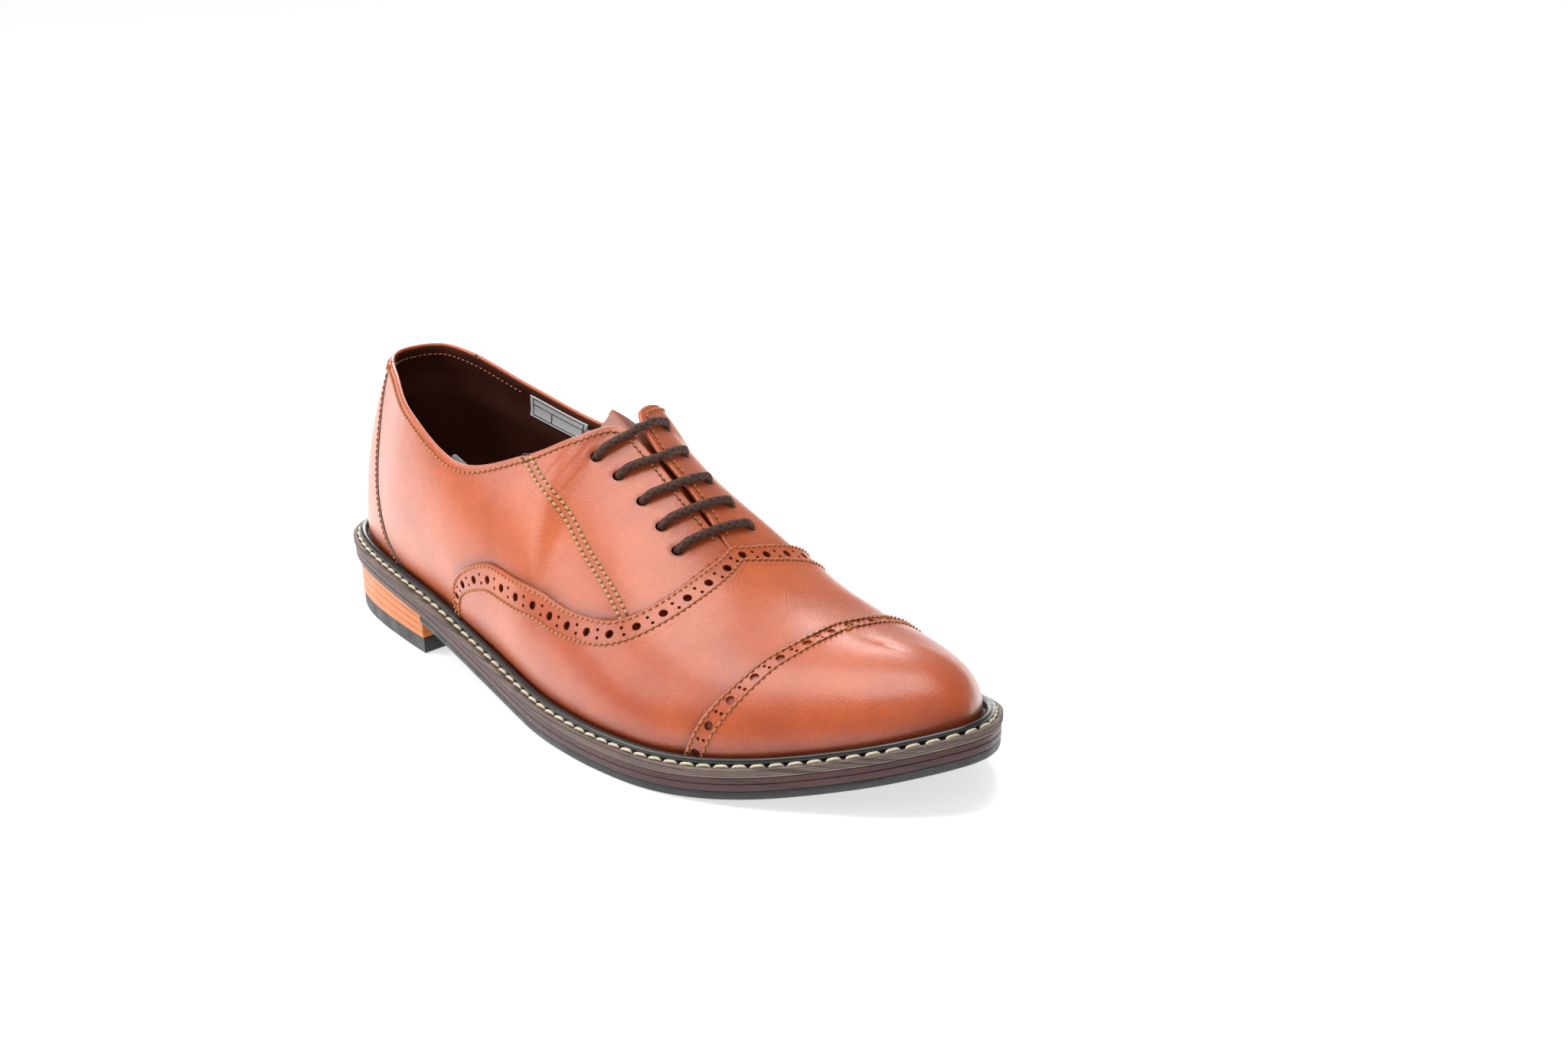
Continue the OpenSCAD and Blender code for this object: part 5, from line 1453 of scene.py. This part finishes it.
for s, tag, path, tagp in ((1, "lateral", END_OUT, TAG_OUT), (2, "medial", END_IN, TAG_IN)):
    V_, F_, at, P_ = braid(np.array(path, float), 1.45, "e", None)
    L = float(np.linalg.norm(np.diff(P_, axis=0), axis=-1).sum())/1000
    ob = make(f"lace_end_{tag}_cord", V_, F_, M["lace_cord"], "lace_cord", attrs={"braid": at})
    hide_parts(f"lace_end_{tag}")
    P2_ = crom(np.array(tagp, float), 24)
    V_, F_ = tube(P2_, np.concatenate([[1.2, 1.32], np.full(20, 1.3), [1.2, 0.9]]), 18)
    tg = make(f"lace_tag_{tag}_sleeve", V_, F_, M["tag_plastic"], "tag_plastic")
    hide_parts(f"lace_tag_{tag}")

# ---------------------------------------------------------------- size label: a blank grid
def label_patch(u0, u1, v0, v1, d0, d1, n=14):
    Ug, Vg = np.meshgrid(np.linspace(u0, u1, n), np.linspace(v0, v1, n), indexing="ij")
    b = lin_d(Ug, Vg) - 0.95
    return slab(pt(2, Ug, Vg, b + d0), pt(2, Ug, Vg, b + d1))
V_, F_ = label_patch(4.0, 4.75, 0.80, 0.95, 0.0, -0.32)
ob = make("size_label_cloth", V_, F_, M["label_cloth"], "label_cloth")
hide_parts("size_label")
bars = []
def bar(u0, u1, v0, v1):
    bars.append(label_patch(u0, u1, v0, v1, -0.28, -0.38))
U0, U1, V0, V1, tu, tv_ = 4.04, 4.71, 0.812, 0.938, 0.012, 0.006
bar(U0, U1, V0, V0 + tv_); bar(U0, U1, V1 - tv_, V1); bar(U0, U0 + tu, V0, V1); bar(U1 - tu, U1, V0, V1)
bar(U0, U1, 0.888, 0.888 + tv_); bar(4.30, 4.30 + tu, V0, 0.888)
V_, F_ = join(bars)
make("size_label_grid", V_, F_, M["label_ink"], "label_cloth")

# ---------------------------------------------------------------- camera, floor and light
scene = bpy.context.scene
F_PX, AZ, EL, RO, OX, OY = 3254.35, 46.92, 17.61, -1.60, 38.37, -4.92
POS = np.array([787.25, -507.2, 313.9])
a, e, r = (math.radians(x) for x in (AZ, EL, RO))
back = Vector((math.sin(a)*math.cos(e), -math.cos(a)*math.cos(e), math.sin(e)))
right = Vector((math.cos(a), math.sin(a), 0))
up = back.cross(right)
r2, u2 = math.cos(r)*right + math.sin(r)*up, -math.sin(r)*right + math.cos(r)*up
cam_d = bpy.data.cameras.new("camera")
cam = bpy.data.objects.new("camera", cam_d)
scene.collection.objects.link(cam)
cam_d.sensor_width, cam_d.lens = 36, F_PX/2048*36
cam_d.shift_x, cam_d.shift_y = -OX/2048, OY/2048
cam_d.clip_start, cam_d.clip_end = 0.05, 50
cam.matrix_world = Matrix(((r2.x, u2.x, back.x, (POS[0] + FX)/1000), (r2.y, u2.y, back.y, (POS[1] + FY)/1000), (r2.z, u2.z, back.z, POS[2]/1000), (0, 0, 0, 1)))
scene.camera = cam

fl = Mat("floor_white")
fl.colour(fl.mix(fl.remap(fl.noise(3, 2), 0.3, 0.7), (0.90, 0.90, 0.90), (0.92, 0.92, 0.92))).rough(fl.remap(fl.noise(5, 2), 0.3, 0.7, 0.6, 0.7))
fl.set(Specular_IOR_Level=0.2, Emission_Color=(1, 1, 1, 1), Emission_Strength=0.64)
me = bpy.data.meshes.new("floor")
me.from_pydata([(-9, -6, -0.0003), (5, -6, -0.0003), (5, 9, -0.0003), (-9, 9, -0.0003)], [], [(0, 1, 2, 3)])
floor = bpy.data.objects.new("floor", me)
me.materials.append(fl.m)
scene.collection.objects.link(floor)

world = bpy.data.worlds.new("studio")
world.use_nodes = True
scene.world = world
bg = next(n for n in world.node_tree.nodes if n.type == "BACKGROUND")
bg.inputs["Color"].default_value = (1, 1, 1, 1)
bg.inputs["Strength"].default_value = 0.34

def area(name, loc, look, size, power, color=(1, 1, 1), size_y=None):
    d = bpy.data.lights.new(name, "AREA")
    d.shape, d.size, d.size_y = "RECTANGLE", size, size_y or size
    d.energy, d.color = power, color
    o = bpy.data.objects.new(name, d)
    o.location = loc
    o.rotation_mode = "QUATERNION"
    o.rotation_quaternion = (Vector(look) - Vector(loc)).to_track_quat("-Z", "Y")
    scene.collection.objects.link(o)
    return o
# left of the camera's view is towards -x -y; behind the shoe is -x +y
area("key", (-0.75, -0.75, 0.75), (-0.02, 0, 0.04), 0.8, 7, size_y=0.7)
area("top", (-0.06, -0.10, 1.15), (0, 0, 0.03), 0.95, 13.5)
area("back", (-0.9, 0.65, 0.55), (0, 0, 0.05), 0.6, 5)
area("fill", (0.9, -0.5, 0.6), (0, 0, 0.03), 0.8, 0.8)
scene.view_settings.view_transform = "Standard"
scene.view_settings.look = "None"
